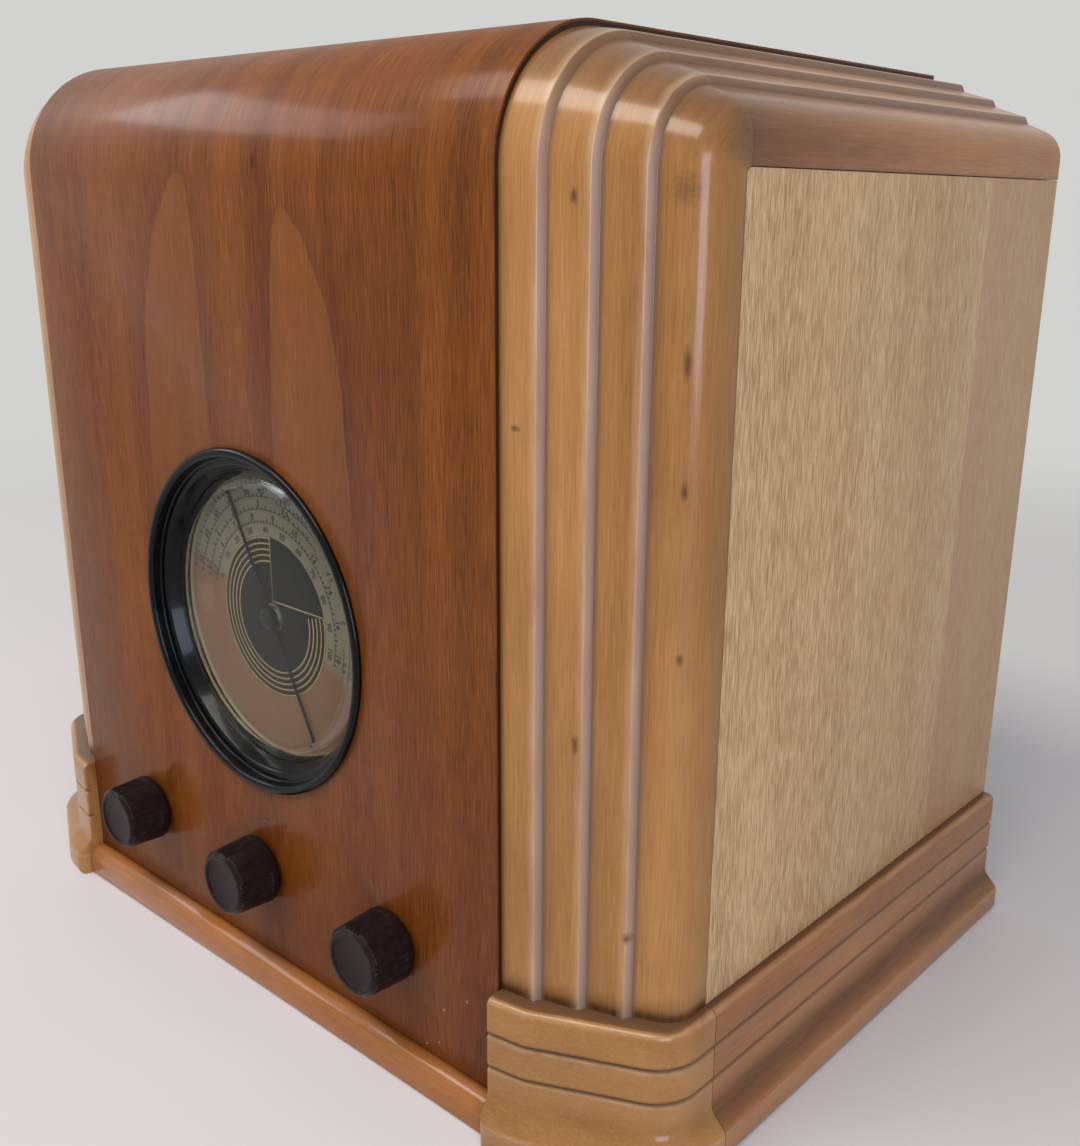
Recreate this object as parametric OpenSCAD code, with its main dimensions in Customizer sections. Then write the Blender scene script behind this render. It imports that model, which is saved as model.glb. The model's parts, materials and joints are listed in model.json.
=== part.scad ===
// Upright table radio of the 1930s: a bent walnut front between stepped maple corners,
// with the open-backed chassis, its tuning drive and the loudspeaker inside.
// All lengths are millimetres. Modules are drawn with x = 0 on the middle of the front,
// y = 0 on the face of the front panel and z = 0 on the table.

/* [Cabinet] */
// Width of the front panel between its two seams
panel_w = 254; // [236:1:290]
// Height of the cabinet
cab_h = 345; // [338:1:390]
// Depth of the cabinet from the face of the panel to the open back
cab_d = 246; // [240:1:290]
// Thickness of the bent front panel
panel_t = 6; // [5:0.5:7]
// Thickness of the side panels
side_t = 12; // [9:0.5:13]
// Thickness of the bottom board
board_t = 10; // [8:0.5:12]

/* [Stepped corners] */
// Width of a corner from its seam to the side of the cabinet
corner_w = 54; // [52:0.5:62]
// Depth of a corner from the face of the panel to the side panel
corner_d = 39; // [37:0.5:46]
// How far the front panel stands proud of the first band
seam_step = 2; // [1:0.1:3]
// Width of one band
band_run = 12; // [10.5:0.1:12.5]
// Width of the riser between two bands
riser_run = 1.4; // [1:0.1:1.8]
// Depth of the riser between two bands
riser = 2.7; // [1.8:0.1:3]
// Radius of a band's outer edge
edge_r = 1; // [0.4:0.1:1.4]
// Radius of the last band's turn into the side
corner_r = 11; // [7:0.5:12]
// Width of the lip behind the front panel
lip_w = 12; // [8:0.5:16]
// Thickness of the lip behind the front panel
lip_t = 12; // [8:0.5:14]
// Least radius of the shoulder, at the corner of the side panel
shoulder_core = 2; // [1:0.5:5]

/* [Base] */
// Height of the base
base_h = 53; // [50:1:60]
// How far the base stands out from the sides
base_out = 4.5; // [3:0.5:7]
// How far the base blocks stand out from the front panel
base_front = 5.5; // [4:0.5:8]
// Height of each of the upper two bands of the base
base_band_h = 12.5; // [11:0.5:13]
// Depth of the groove between two bands of the base
groove = 1.6; // [0.8:0.1:2.2]
// Radius of the top edge of the base
base_edge_r = 2.5; // [1:0.1:3]
// Radius of the base's turn from front to side
base_r = 18; // [17:0.5:20]
// Width of the front facet of a base block
facet_run = 14; // [10:0.5:18]
// How far the shoe stands out from the base
shoe_out = 6; // [4.5:0.5:7]
// Height of the shoe's upright edge
shoe_h = 10; // [8:0.5:11]
// Height of the rail along the foot of the front panel
rail_h = 13; // [10:0.5:16]
// How far that rail stands out from the front panel
rail_out = 7; // [5:0.5:8]

/* [Dial] */
// Height of the dial's centre above the table
dial_z = 148; // [146:1:156]
// Radius of the glass that shows inside the bezel
glass_show_r = 55.2; // [54:0.2:57]
// Width of the bezel's seat for the glass
glass_seat = 4.8; // [4:0.1:5.4]
// Wall of the bezel round the glass
bezel_wall = 1.35; // [1:0.05:2]
// How far the bezel's front lip overlaps the panel
bezel_flange = 3; // [2.5:0.1:3.5]
// How far the glass edge lies behind the face of the panel
glass_y = 9.2; // [8.4:0.2:10.4]
// Thickness of the glass
glass_t = 2; // [1.5:0.1:2.4]
// How far the glass bulges forwards at its centre
glass_rise = 6; // [4:0.5:6.5]
// Length of the pointer from its shaft to its tip
pointer_l = 50; // [40:1:52]
// Angle of the pointer left of upright
pointer_rest = 27; // [0:1:45]

/* [Controls] */
// Height of the knobs' shafts above the table
knob_z = 49.6; // [46:0.2:52]
// Distance of the outer knobs from the middle
knob_x = 76; // [68:1:84]
// How far the knobs' faces stand out from the panel
knob_reach = 19; // [16:0.5:24]
// Radius of a knob at its back
knob_r = 13.6; // [12.6:0.1:15]
// How much less a knob's radius is at its face
knob_taper = 0.9; // [0.4:0.1:1.4]
// Flutes in each of the four groups on a knob
flutes = 5; // [3:1:5]
// Radius of the control shafts
shaft_r = 3.175; // [3:0.025:3.3]

/* [Chassis] */
// Width of the chassis
chassis_w = 270; // [266:1:276]
// Depth of the chassis
chassis_d = 160; // [158:1:170]
// Height of the chassis
chassis_h = 58; // [56:1:62]
// Gauge of the chassis steel
sheet_t = 1.5; // [1:0.1:2]
// Distance from the face of the front panel to the chassis
chassis_y = 36; // [34:0.5:38]

/* [Tuning drive] */
// Radius at which the cord runs on the drum
drum_cord_r = 39.2; // [34:0.2:40]
// Radius at which the cord runs on the spindle
spindle_cord_r = 5.2; // [4.8:0.1:6]
// Radius of the drive cord
cord_r = 0.5; // [0.3:0.1:0.6]
// Radius of the condenser's rotor plates
rotor_r = 21; // [17:0.5:22]
// Plates in each gang of the rotor
rotor_plates = 6; // [4:1:6]

/* [Loudspeaker] */
// Distance of the loudspeaker's centre below the top of the cabinet
speaker_drop = 87; // [83:1:89]
// Radius of the loudspeaker's mouth
speaker_mouth_r = 52; // [46:0.5:54]
// Depth of the loudspeaker's basket
basket_depth = 32; // [28:0.5:36]
// Radius of the loudspeaker's magnet pot
magnet_r = 28; // [26:0.5:34]
// Thickness of the baffle board
baffle_t = 8; // [6:0.5:10]
// How far the baffle lies in front of the open back
baffle_inset = 12; // [8:0.5:16]
// Distance of the baffle's lower edge below the loudspeaker's centre
baffle_drop = 70; // [66:1:72]

/* [Hidden] */
$fn = 64;

// Clearances
running_fit = 0.05;
loose_fit = 0.3;
free_gap = 1;
cut = 1;

// Stepped corner: s runs outwards from the seam, d backwards from the panel's face
band_tilts = [8.5, 16, 17];
last_tilt = 22;
bands = len(band_tilts);
core_s = 4;
half_w = panel_w / 2;
side_x = half_w + corner_w;
inner_x = side_x - side_t;
lip_d = panel_t + lip_t;
bend_r = corner_d + shoulder_core;

function band_s(k) = k * (band_run + riser_run);
function band_fall(k) = band_run * tan(band_tilts[k]);
function band_d(k) = k == 0 ? seam_step : band_d(k - 1) + band_fall(k - 1) + riser;

// Base: o runs outwards from the face of its bands
facet_tilt = 10.5;
slant_tilt = 26;
shoe_slope = 6;
shoe_r = 4;
shoe_foot_r = 2;
cove_r = 5;
turn_steps = 12;
base_x = side_x + base_out;
groove_z = [base_h - base_band_h, base_h - 2 * base_band_h];
edge_p = [half_w + facet_run, facet_run * tan(facet_tilt) - base_front];
facet_n = [sin(facet_tilt), -cos(facet_tilt)];
slant_n = [sin(slant_tilt), -cos(slant_tilt)];
turn_x = base_x - base_r;
turn_p = [turn_x, edge_p.y + (base_r + (turn_x - edge_p.x) * sin(slant_tilt)) / cos(slant_tilt)];

// Stations of a base block from the seam to the side, each a point on its face and the way outwards
base_stations = concat(
    [
        [[half_w, -base_front], [0, -1 / cos(facet_tilt)]],
        [edge_p, (facet_n + slant_n) / (1 + facet_n * slant_n)]
    ],
    [for (i = [0:turn_steps]) let (turn = (slant_tilt - 90) * (1 - i / turn_steps), n = [cos(turn), sin(turn)])
        [turn_p + base_r * n, n]],
    [[[base_x, corner_d], [1, 0]]]
);
block_inside = [
    [half_w, panel_t],
    [half_w - lip_w, panel_t],
    [half_w - lip_w, lip_d],
    [half_w + core_s, lip_d],
    [inner_x, corner_d]
];

// Dial
bezel_lip = 2;
bezel_funnel = 0.6;
bezel_step_y = 2.6;
bezel_step_r = 1.6;
bezel_slope = 2.6;
bezel_rim = 1.2;
bezel_edge_r = 0.5;
bezel_roll = 0.45 * (bezel_flange + bezel_funnel);
plate_r = glass_show_r + glass_seat;
pocket_r = plate_r + loose_fit / 2;
bezel_tube_r = pocket_r + bezel_wall;
dial_hole_r = bezel_tube_r + loose_fit;
plate_gap = 1.2;
plate_t = 1;
plate_rim = 1.4;
plate_y = glass_y + glass_t + plate_gap;
clamp_t = 1.6;
bezel_back = plate_y + plate_t + clamp_t;
glass_sphere_r = (glass_show_r ^ 2 + glass_rise ^ 2) / (2 * glass_rise);
retainer_t = 1.2;
retainer_flange = 6;
retainer_seat = 3;
pointer_t = 0.6;
pointer_w = 1.2;
pointer_y = plate_y - 1.5;
hub_r = 4.5;
hub_cap = 0.8;
hub_l = 2;

// Chassis
chassis_z = board_t;
deck_z = chassis_z + chassis_h;
chassis_back = chassis_y + chassis_d;
foot_w = 14;
bolt_r = 2.5;
bolt_head_r = 5;
bolt_head_h = 3.5;
bolt_inset = 18;
bolt_places = [for (x = [-1, 1], y = [chassis_y + bolt_inset, chassis_back - bolt_inset])
    [x * (chassis_w + foot_w) / 2, y]];

// Controls
control_x = [-knob_x, 0, knob_x];
knob_gap = 1;
knob_chamfer = 1.5;
knob_rim = 1;
knob_dish = 0.8;
knob_back_r = 2;
knob_bore_end = 5;
knob_face_r = knob_r - knob_taper;
knob_lean = atan(knob_taper / (knob_reach - knob_gap - knob_chamfer));
flute_groups = 4;
flute_pitch = 7;
flute_r = 0.8;
flute_stop = 4;
nut_r = 7;
nut_t = 3;
neck_r = 4.7;
flange_t = 2;
control_r = 13.5;
control_l = 16;
wafer_t = 2;
wafer_y = [8, 18];
wafer_rod_x = 10;
control_back = chassis_y + sheet_t;

// Tuning drive
drive_y = 27;
drum_w = 6;
drum_rim = 5;
drum_web = 2;
drum_edge = 0.8;
drum_hub_r = 9;
drum_r = drum_cord_r + drum_edge;
drum_hole_r = 8;
groove_w = 2 * cord_r + 2 * loose_fit;
cord_span = dial_z - knob_z;
cord_lean = asin((drum_cord_r - spindle_cord_r) / cord_span);
cord_run = cord_span * cos(cord_lean);

// Tuning condenser: two gangs between the plates of its frame
frame_t = 2;
frame_y = [chassis_y + 24, chassis_y + 81];
frame_l = frame_y[1] + frame_t - frame_y[0];
frame_half = 28;
frame_drop = 34;
frame_bearing_r = 13;
frame_low = 6;
gang_y = [frame_y[0] + 6, frame_y[0] + 32];
gang_pitch = 3.2;
gang_hub_r = 5.5;
blade_t = 0.7;
stator_low = frame_drop - 6;
stator_high = 5;
stator_bore_r = gang_hub_r + 2.5;
rod_x = 24;
rod_drop = 23;
rod_r = 1.6;
rotor_tail = 3;
pedestal_half = 17;
pedestal_foot = 9;

// Lamps beside the drum
lamp_r = 5;
lamp_x = plate_r - lamp_r - 5;
lamp_y = bezel_back + 2;
lamp_l = 10;
lamp_socket_r = 6.5;
lamp_socket_l = 12;
lamp_bracket_y = lamp_y + lamp_r + lamp_l + lamp_socket_l;
lamp_bracket_w = 14;
lamp_foot = 12;

// Valves: their shapes as [neck, widest, dome, height], and their places on the deck
socket_r = 18;
socket_t = 4;
socket_ear = [10, 5, 1.2];
valve_base_r = 15.5;
valve_base_h = 26;
valve_base_step = [1, 5];
signal_shape = [14.5, 19.6, 13, 68];
power_shape = [15, 22.4, 15, 86];
bulb_t = 1;
bulb_r = 6;
anode_r = 6;
anode_z = 12;
anode_h = 26;
stem_r = 3;
deck_gap = 1;
transformer = [74, 62, 78];
back_row = chassis_back - 28;
right_row = chassis_w / 2 - signal_shape[1] - deck_gap;
left_row = transformer.x / 2 + deck_gap - chassis_w / 2;
signal_pitch = 2 * (signal_shape[1] + deck_gap);
signal_places = [[right_row - signal_pitch, back_row], [right_row, back_row], [right_row, back_row - 50]];
rectifier_x = left_row + transformer.x / 2 + power_shape[1] + deck_gap;
rectifier_place = [rectifier_x, back_row - 2];
output_place = [rectifier_x + 2 * power_shape[1] + deck_gap, back_row - power_shape[1]];
valve_places = concat(signal_places, [output_place, rectifier_place]);

// Other pieces on the chassis
if_can = [35, 35, 75];
if_can_r = 4;
if_trimmer = [7, 2.6, 4];
if_places = [[right_row - 42, back_row - 56], [right_row - 2, back_row - 100]];
can_r = 17;
can_h = 82;
can_step = [3, 4];
can_foot = [4, 3];
can_place = [left_row + 17, back_row - 78];
transformer_place = [left_row, back_row - 12];
bell_depth = 14;
bell_inset = [10, 8, 10];
bell_t = 2;
strip = [64, 2, 18];
strip_p = [58, chassis_z + 28];
post_r = 3.4;
post_l = 5;
post_pitch = 18;
grommet_p = [-95, chassis_z + 24];
grommet_r = 7;
grommet_bore_r = 4;
grommet_flange = 2;
grommet_lip = 3;

// Loudspeaker
speaker_z = cab_h - speaker_drop;
baffle_z = speaker_z - baffle_drop;
baffle_y = cab_d - baffle_inset - baffle_t;
baffle_hole_r = speaker_mouth_r + 2;
cleat = 12;
cloth_r = baffle_hole_r + 12;
cloth_t = 0.8;
rim_w = 10;
rim_t = 1.4;
basket_y = baffle_y - basket_depth;
basket_back_r = magnet_r - 2;
window = [24, 16, 4];
windows = 6;
magnet_l = 27;
coil_r = 12.5;
coil_gap = 0.8;
coil_l = 5;
gap_depth = 12;
cone_t = 0.8;
cone_throat = 8;
cone_rim = 3;
cap_rise = 4;
output_size = [40, 34, 34];
output_strap = [56, 2, 26];
output_x = speaker_mouth_r + output_strap.x;

// The whole object is moved so that the origin lies under its middle
front_y = (knob_reach - cab_d) / 2;

walnut = "#84471f";
maple = "#b9854d";
veneer = "#b58f60";
plywood = "#a98a5f";
bakelite = "#2a1c19";
lacquer = "#15130f";
steel = "#9a9a94";
aluminium = "#b9bab2";
brass = "#b08d4f";
paper = "#57503f";

// Outlines with rounded corners

function unit(v) = v / norm(v);

// Points of the arc of radius r that rounds the corner b between a and c
function arc_at(a, b, c, r, steps) =
    let (
        u = unit(a - b),
        v = unit(c - b),
        half = acos(u * v) / 2,
        centre = b + unit(u + v) * r / sin(half),
        first = b + u * r / tan(half) - centre,
        start = atan2(first.y, first.x),
        sweep = (cross(u, v) < 0 ? 1 : -1) * (180 - 2 * half)
    )
    [for (i = [0:steps]) centre + r * [cos(start + sweep * i / steps), sin(start + sweep * i / steps)]];

// Closed outline through corners [x, y, r], where r is 0 for a sharp corner
function outline(corners, steps = 6) =
    let (n = len(corners), points = [for (p = corners) [p.x, p.y]])
    [for (i = [0:n - 1])
        each corners[i][2] > 0
            ? arc_at(points[(i + n - 1) % n], points[i], points[(i + 1) % n], corners[i][2], steps)
            : [points[i]]];

// Stepped outline of a corner, from the seam round to the lip behind the panel
corner_profile = outline(concat(
    [[0, seam_step, 0]],
    [for (k = [0:bands - 1]) each [
        [band_s(k) + band_run, band_d(k) + band_fall(k), edge_r],
        [band_s(k + 1), band_d(k + 1), 0]
    ]],
    [
        [corner_w, band_d(bands) + (corner_w - band_s(bands)) * tan(last_tilt), corner_r],
        [corner_w, corner_d, 0],
        [corner_w - side_t, corner_d, 0],
        [core_s, lip_d, 0],
        [-lip_w, lip_d, 0],
        [-lip_w, panel_t, 0],
        [0, panel_t, 0]
    ]));

// Inside of the cabinet as [x, depth behind the panel's face or below the top]
function inside_outline(reach) =
    let (right = [
        [half_w - lip_w, panel_t],
        [half_w - lip_w, lip_d],
        [half_w + core_s, lip_d],
        [inner_x, corner_d],
        [inner_x, reach]
    ])
    concat(right, [for (i = [len(right) - 1:-1:0]) [-right[i].x, right[i].y]]);

// Section of the base, with depth as its thickness behind the face of its bands
function base_profile(depth) = outline([
    [-depth, 0, 0],
    [shoe_out, 0, shoe_foot_r],
    [shoe_out, shoe_h, shoe_r],
    [0, shoe_h + shoe_slope, cove_r],
    [0, groove_z[1] - groove, 0],
    [-groove, groove_z[1], 0],
    [0, groove_z[1], 0],
    [0, groove_z[0] - groove, 0],
    [-groove, groove_z[0], 0],
    [0, groove_z[0], 0],
    [0, base_h, base_edge_r],
    [-depth, base_h, 0]
], 5);

// Placing helpers

module place() translate([0, front_y, 0]) children();

module left() mirror([1, 0, 0]) children();

module both_sides() {
    children();
    left() children();
}

// Turns a section [radius, y] about an axis that points backwards through [x, z]
module turned(x, z) translate([x, 0, z]) rotate([-90, 0, 0]) rotate_extrude() children();

// A round bar along y from y0 to y1
module bar(x, z, r, y0, y1) translate([x, y0, z]) rotate([-90, 0, 0]) cylinder(h = y1 - y0, r = r);

// Turns a section [radius, x] through the bend from the front to the top
module bend() translate([0, bend_r, cab_h - bend_r]) rotate([90, 0, 90]) rotate([0, 0, 90])
    rotate_extrude(angle = 90, $fn = 128) children();

// Cabinet

module front_panel() color(walnut) difference() {
    union() {
        translate([-half_w, 0, 0]) cube([panel_w, panel_t, cab_h - bend_r]);
        translate([-half_w, bend_r, cab_h - panel_t]) cube([panel_w, cab_d - bend_r, panel_t]);
        bend() translate([bend_r - panel_t, -half_w]) square([panel_t, panel_w]);
    }
    bar(0, dial_z, dial_hole_r, -cut, panel_t + cut);
    for (x = control_x) bar(x, knob_z, shaft_r + free_gap, -cut, panel_t + cut);
}

module corner_post() color(maple) {
    translate([half_w, 0, base_h]) linear_extrude(cab_h - bend_r - base_h) polygon(corner_profile);
    bend() polygon([for (p = corner_profile) [bend_r - p.y, half_w + p.x]]);
}

module top_rail() color(maple) translate([half_w, cab_d, cab_h]) rotate([90, 0, 0])
    linear_extrude(cab_d - bend_r) polygon([for (p = corner_profile) [p.x, -p.y]]);

module side_panel() color(veneer) translate([inner_x, 0, 0]) rotate([90, 0, 90]) linear_extrude(side_t)
    polygon(outline([
        [corner_d, base_h, 0],
        [cab_d, base_h, 0],
        [cab_d, cab_h - corner_d, 0],
        [corner_d, cab_h - corner_d, shoulder_core]
    ]));

// A straight run of the base that ends at point end, after going len in direction heading
module base_run(end, heading, len, depth) translate([end.x, end.y, 0]) rotate([90, 0, heading - 90])
    linear_extrude(len) polygon(base_profile(depth));

// A base block: the section of the base carried along its stations, closed behind along the inside
module base_corner() color(maple) {
    section = base_profile(cut);
    n = len(section) - 2;
    last = len(base_stations) - 1;
    low = (last + 1) * n;
    high = low + len(block_inside);
    end = len(block_inside) - 1;
    polyhedron(
        points = concat(
            [for (at = base_stations, j = [1:n]) let (p = at[0] + section[j].x * at[1]) [p.x, p.y, section[j].y]],
            [for (z = [0, base_h], p = block_inside) [p.x, p.y, z]]
        ),
        faces = concat(
            [for (i = [0:last - 1], j = [0:n - 2])
                [i * n + j, i * n + j + 1, (i + 1) * n + j + 1, (i + 1) * n + j]],
            [for (k = [0:end - 1]) [low + k, low + k + 1, high + k + 1, high + k]],
            [concat([for (j = [n - 1:-1:0]) j], [low, high])],
            [concat([for (j = [0:n - 1]) last * n + j], [high + end, low + end])],
            [concat([for (k = [0:end]) high + k], [for (i = [last:-1:0]) i * n + n - 1])],
            [concat([for (i = [0:last]) i * n], [for (k = [end:-1:0]) low + k])]
        )
    );
}

module base_side() color(maple) base_run([base_x, cab_d], 90, cab_d - corner_d, base_out + side_t);

module front_rail() color(maple) translate([-half_w, 0, 0]) rotate([90, 0, 90]) linear_extrude(panel_w)
    polygon(outline([
        [0, 0, 0],
        [0, rail_h, 0],
        [-rail_out, rail_h, rail_out - free_gap],
        [-rail_out, 0, shoe_foot_r]
    ], 10));

module bottom_board() color(plywood) linear_extrude(board_t) polygon(inside_outline(cab_d));

// Loudspeaker on its baffle

module baffle_cleats() color(plywood) both_sides()
    translate([inner_x - cleat, baffle_y - cleat, baffle_z])
        cube([cleat, cleat, cab_h - corner_d - cleat - baffle_z]);

module speaker_baffle() color(plywood) difference() {
    translate([0, baffle_y + baffle_t, cab_h]) rotate([90, 0, 0]) linear_extrude(baffle_t)
        polygon([for (p = inside_outline(cab_h - baffle_z)) [p.x, -p.y]]);
    bar(0, speaker_z, baffle_hole_r, baffle_y - cut, baffle_y + baffle_t + cut);
}

module grille_cloth() color("#6b4a2b")
    bar(0, speaker_z, cloth_r, baffle_y + baffle_t, baffle_y + baffle_t + cloth_t);

module speaker_frame() color(steel) difference() {
    turned(0, speaker_z) polygon([
        [speaker_mouth_r + rim_w, baffle_y],
        [speaker_mouth_r + rim_w, baffle_y - rim_t],
        [speaker_mouth_r + rim_t, baffle_y - rim_t],
        [basket_back_r + rim_t, basket_y],
        [coil_r + rim_t + free_gap, basket_y],
        [coil_r + rim_t + free_gap, basket_y + rim_t],
        [basket_back_r, basket_y + rim_t],
        [speaker_mouth_r, baffle_y]
    ]);
    for (i = [0:windows - 1]) translate([0, 0, speaker_z]) rotate([0, 360 * (i + 0.5) / windows, 0])
        translate([basket_back_r + window.z, basket_y + window.z, -window.y / 2])
            cube([window.x, basket_depth - 3 * window.z, window.y]);
}

module speaker_cone() color(paper) turned(0, speaker_z) polygon([
    [speaker_mouth_r - cone_rim, baffle_y - 2 * cone_t],
    [coil_r + cone_t, basket_y + cone_throat],
    [coil_r + cone_t, basket_y - coil_l],
    [coil_r, basket_y - coil_l],
    [coil_r, basket_y + cone_throat + cone_t],
    [0, basket_y + cone_throat + cone_t + cap_rise],
    [0, basket_y + cone_throat + 2 * cone_t + cap_rise],
    [coil_r + cone_t, basket_y + cone_throat + 2 * cone_t],
    [speaker_mouth_r - cone_rim, baffle_y - cone_t]
]);

module speaker_magnet() color(lacquer) difference() {
    bar(0, speaker_z, magnet_r, basket_y - magnet_l, basket_y);
    turned(0, speaker_z) translate([coil_r - coil_gap, basket_y - gap_depth])
        square([2 * coil_gap + cone_t, gap_depth + cut]);
}

module output_transformer() color(steel) translate([output_x, baffle_y, speaker_z]) {
    translate([-output_size.x / 2, -output_size.y, -output_size.z / 2]) cube(output_size);
    translate([-output_strap.x / 2, -output_strap.y, -output_strap.z / 2]) cube(output_strap);
}

// Dial

function glass_front(r) = glass_y - sqrt(glass_sphere_r ^ 2 - r ^ 2) + glass_sphere_r - glass_rise;

module dial_bezel() color(lacquer) turned(0, dial_z) polygon(outline([
    [bezel_tube_r, bezel_back, 0],
    [bezel_tube_r, 0, 0],
    [bezel_tube_r + bezel_flange, 0, 0],
    [bezel_tube_r + bezel_flange, -bezel_lip, bezel_roll],
    [bezel_tube_r - bezel_funnel, -bezel_lip, bezel_roll],
    [bezel_tube_r - bezel_funnel, bezel_step_y, bezel_step_r / 2],
    [glass_show_r + bezel_slope, bezel_step_y, bezel_step_r],
    [glass_show_r, glass_y - bezel_rim, bezel_edge_r],
    [glass_show_r, glass_y, 0],
    [pocket_r, glass_y, 0],
    [pocket_r, bezel_back, 0]
], 5));

module dial_glass() color("#cfd8d0") turned(0, dial_z) polygon(concat(
    [for (i = [0:12]) let (r = glass_show_r * i / 12) [r, glass_front(r)]],
    [[plate_r, glass_y], [plate_r, glass_y + glass_t]],
    [for (i = [12:-1:0]) let (r = glass_show_r * i / 12) [r, glass_front(r) + glass_t]]
));

module dial_plate() color("#b9a37c") turned(0, dial_z) polygon([
    [hub_r, plate_y],
    [plate_r - plate_rim, plate_y],
    [plate_r - plate_rim, plate_y - plate_gap],
    [plate_r, plate_y - plate_gap],
    [plate_r, plate_y + plate_t],
    [hub_r, plate_y + plate_t]
]);

// Cup ring behind the panel that clamps the bezel and holds the plate against the glass
module dial_retainer() color(steel) turned(0, dial_z) polygon([
    [plate_r - retainer_seat, plate_y + plate_t],
    [plate_r, plate_y + plate_t],
    [plate_r, bezel_back],
    [dial_hole_r, bezel_back],
    [dial_hole_r, panel_t],
    [dial_hole_r + retainer_flange, panel_t],
    [dial_hole_r + retainer_flange, panel_t + retainer_t],
    [dial_hole_r + retainer_t, panel_t + retainer_t],
    [dial_hole_r + retainer_t, bezel_back + retainer_t],
    [plate_r - retainer_seat, bezel_back + retainer_t]
]);

module dial_pointer() color(lacquer) difference() {
    union() {
        translate([0, pointer_y, dial_z]) rotate([0, -pointer_rest, 0])
            translate([-pointer_w / 2, 0, -pointer_l]) cube([pointer_w, pointer_t, 2 * pointer_l]);
        bar(0, dial_z, hub_r - free_gap / 2, pointer_y - hub_l, pointer_y + pointer_t);
    }
    bar(0, dial_z, shaft_r, pointer_y - hub_l + hub_cap, pointer_y + pointer_t + cut);
}

module dial_lamps() color("#e8dfb8") both_sides() {
    translate([lamp_x, lamp_y + lamp_r, dial_z]) sphere(r = lamp_r);
    bar(lamp_x, dial_z, lamp_r, lamp_y + lamp_r, lamp_bracket_y - lamp_socket_l);
    bar(lamp_x, dial_z, lamp_socket_r, lamp_bracket_y - lamp_socket_l, lamp_bracket_y);
}

module lamp_brackets() color(steel) both_sides() {
    translate([lamp_x - lamp_bracket_w / 2, lamp_bracket_y, deck_z]) {
        cube([lamp_bracket_w, sheet_t, dial_z - deck_z]);
        cube([lamp_bracket_w, lamp_foot, sheet_t]);
    }
    bar(lamp_x, dial_z, lamp_bracket_w / 2, lamp_bracket_y, lamp_bracket_y + sheet_t);
}

// Tuning condenser and its drive

module condenser_pedestal() color(steel) translate([0, frame_y[0], deck_z]) {
    height = dial_z - frame_drop - deck_z;
    translate([-pedestal_half, 0, height - sheet_t]) cube([2 * pedestal_half, frame_l, sheet_t]);
    both_sides() translate([pedestal_half - sheet_t, 0, 0]) {
        cube([sheet_t, frame_l, height]);
        cube([pedestal_foot + sheet_t, frame_l, sheet_t]);
    }
}

module condenser_plate(y) difference() {
    union() {
        translate([-frame_half, y, dial_z - frame_drop])
            cube([2 * frame_half, frame_t, frame_drop - frame_low]);
        bar(0, dial_z, frame_bearing_r, y, y + frame_t);
        translate([-frame_bearing_r, y, dial_z - 2 * frame_low])
            cube([2 * frame_bearing_r, frame_t, 2 * frame_low]);
    }
    bar(0, dial_z, shaft_r + running_fit, y - cut, y + frame_t + cut);
}

module condenser_frame() color(steel) {
    for (y = frame_y) condenser_plate(y);
    translate([-frame_half, frame_y[0], dial_z - frame_drop]) cube([2 * frame_half, frame_l, frame_t]);
}

module condenser_stators() color(aluminium) {
    for (y = gang_y, i = [0:rotor_plates]) translate([0, y + i * gang_pitch, dial_z]) difference() {
        translate([free_gap - frame_half, 0, -stator_low])
            cube([2 * (frame_half - free_gap), blade_t, stator_low - stator_high]);
        bar(0, 0, stator_bore_r, -cut, blade_t + cut);
    }
    both_sides() bar(rod_x, dial_z - rod_drop, rod_r, frame_y[0] + frame_t, frame_y[1]);
}

module condenser_rotor() color(aluminium) {
    bar(0, dial_z, shaft_r, pointer_y - hub_l + hub_cap, frame_y[1] + frame_t + rotor_tail);
    for (y = gang_y) bar(0, dial_z, gang_hub_r, y + free_gap, y + rotor_plates * gang_pitch);
    for (y = gang_y, i = [0:rotor_plates - 1])
        translate([0, y + (i + 0.5) * gang_pitch, dial_z]) rotate([0, -pointer_rest, 0]) intersection() {
            bar(0, 0, rotor_r, 0, blade_t);
            translate([0, -cut, -rotor_r - cut]) cube([rotor_r + cut, blade_t + 2 * cut, 2 * (rotor_r + cut)]);
        }
}

// Rim section of a wheel that the drive cord runs on, from radius inner to its edge
function cord_rim(inner, run_r) = [
    [inner, drive_y - drum_w / 2],
    [run_r + drum_edge, drive_y - drum_w / 2],
    [run_r + drum_edge, drive_y - groove_w / 2],
    [run_r - cord_r - loose_fit, drive_y - groove_w / 2],
    [run_r - cord_r - loose_fit, drive_y + groove_w / 2],
    [run_r + drum_edge, drive_y + groove_w / 2],
    [run_r + drum_edge, drive_y + drum_w / 2],
    [inner, drive_y + drum_w / 2]
];

module drive_drum() color(brass) difference() {
    union() {
        turned(0, dial_z) polygon(cord_rim(drum_r - drum_rim, drum_cord_r));
        bar(0, dial_z, drum_r - drum_rim / 2, drive_y - drum_web / 2, drive_y + drum_web / 2);
        bar(0, dial_z, drum_hub_r, drive_y - drum_w / 2, drive_y + drum_w);
    }
    bar(0, dial_z, shaft_r, drive_y - drum_w, drive_y + drum_w + cut);
    for (i = [0:3]) translate([0, 0, dial_z]) rotate([0, 90 * i - pointer_rest, 0])
        bar((drum_hub_r + drum_r - drum_rim) / 2, 0, drum_hole_r, drive_y - drum_web, drive_y + drum_web);
}

// Part of the cord's loop round a wheel at height z
module cord_arc(z, r, start, sweep) translate([0, drive_y, z]) rotate([90, 0, 0]) rotate([0, 0, start])
    rotate_extrude(angle = sweep) translate([r, 0]) circle(r = cord_r, $fn = 24);

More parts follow.
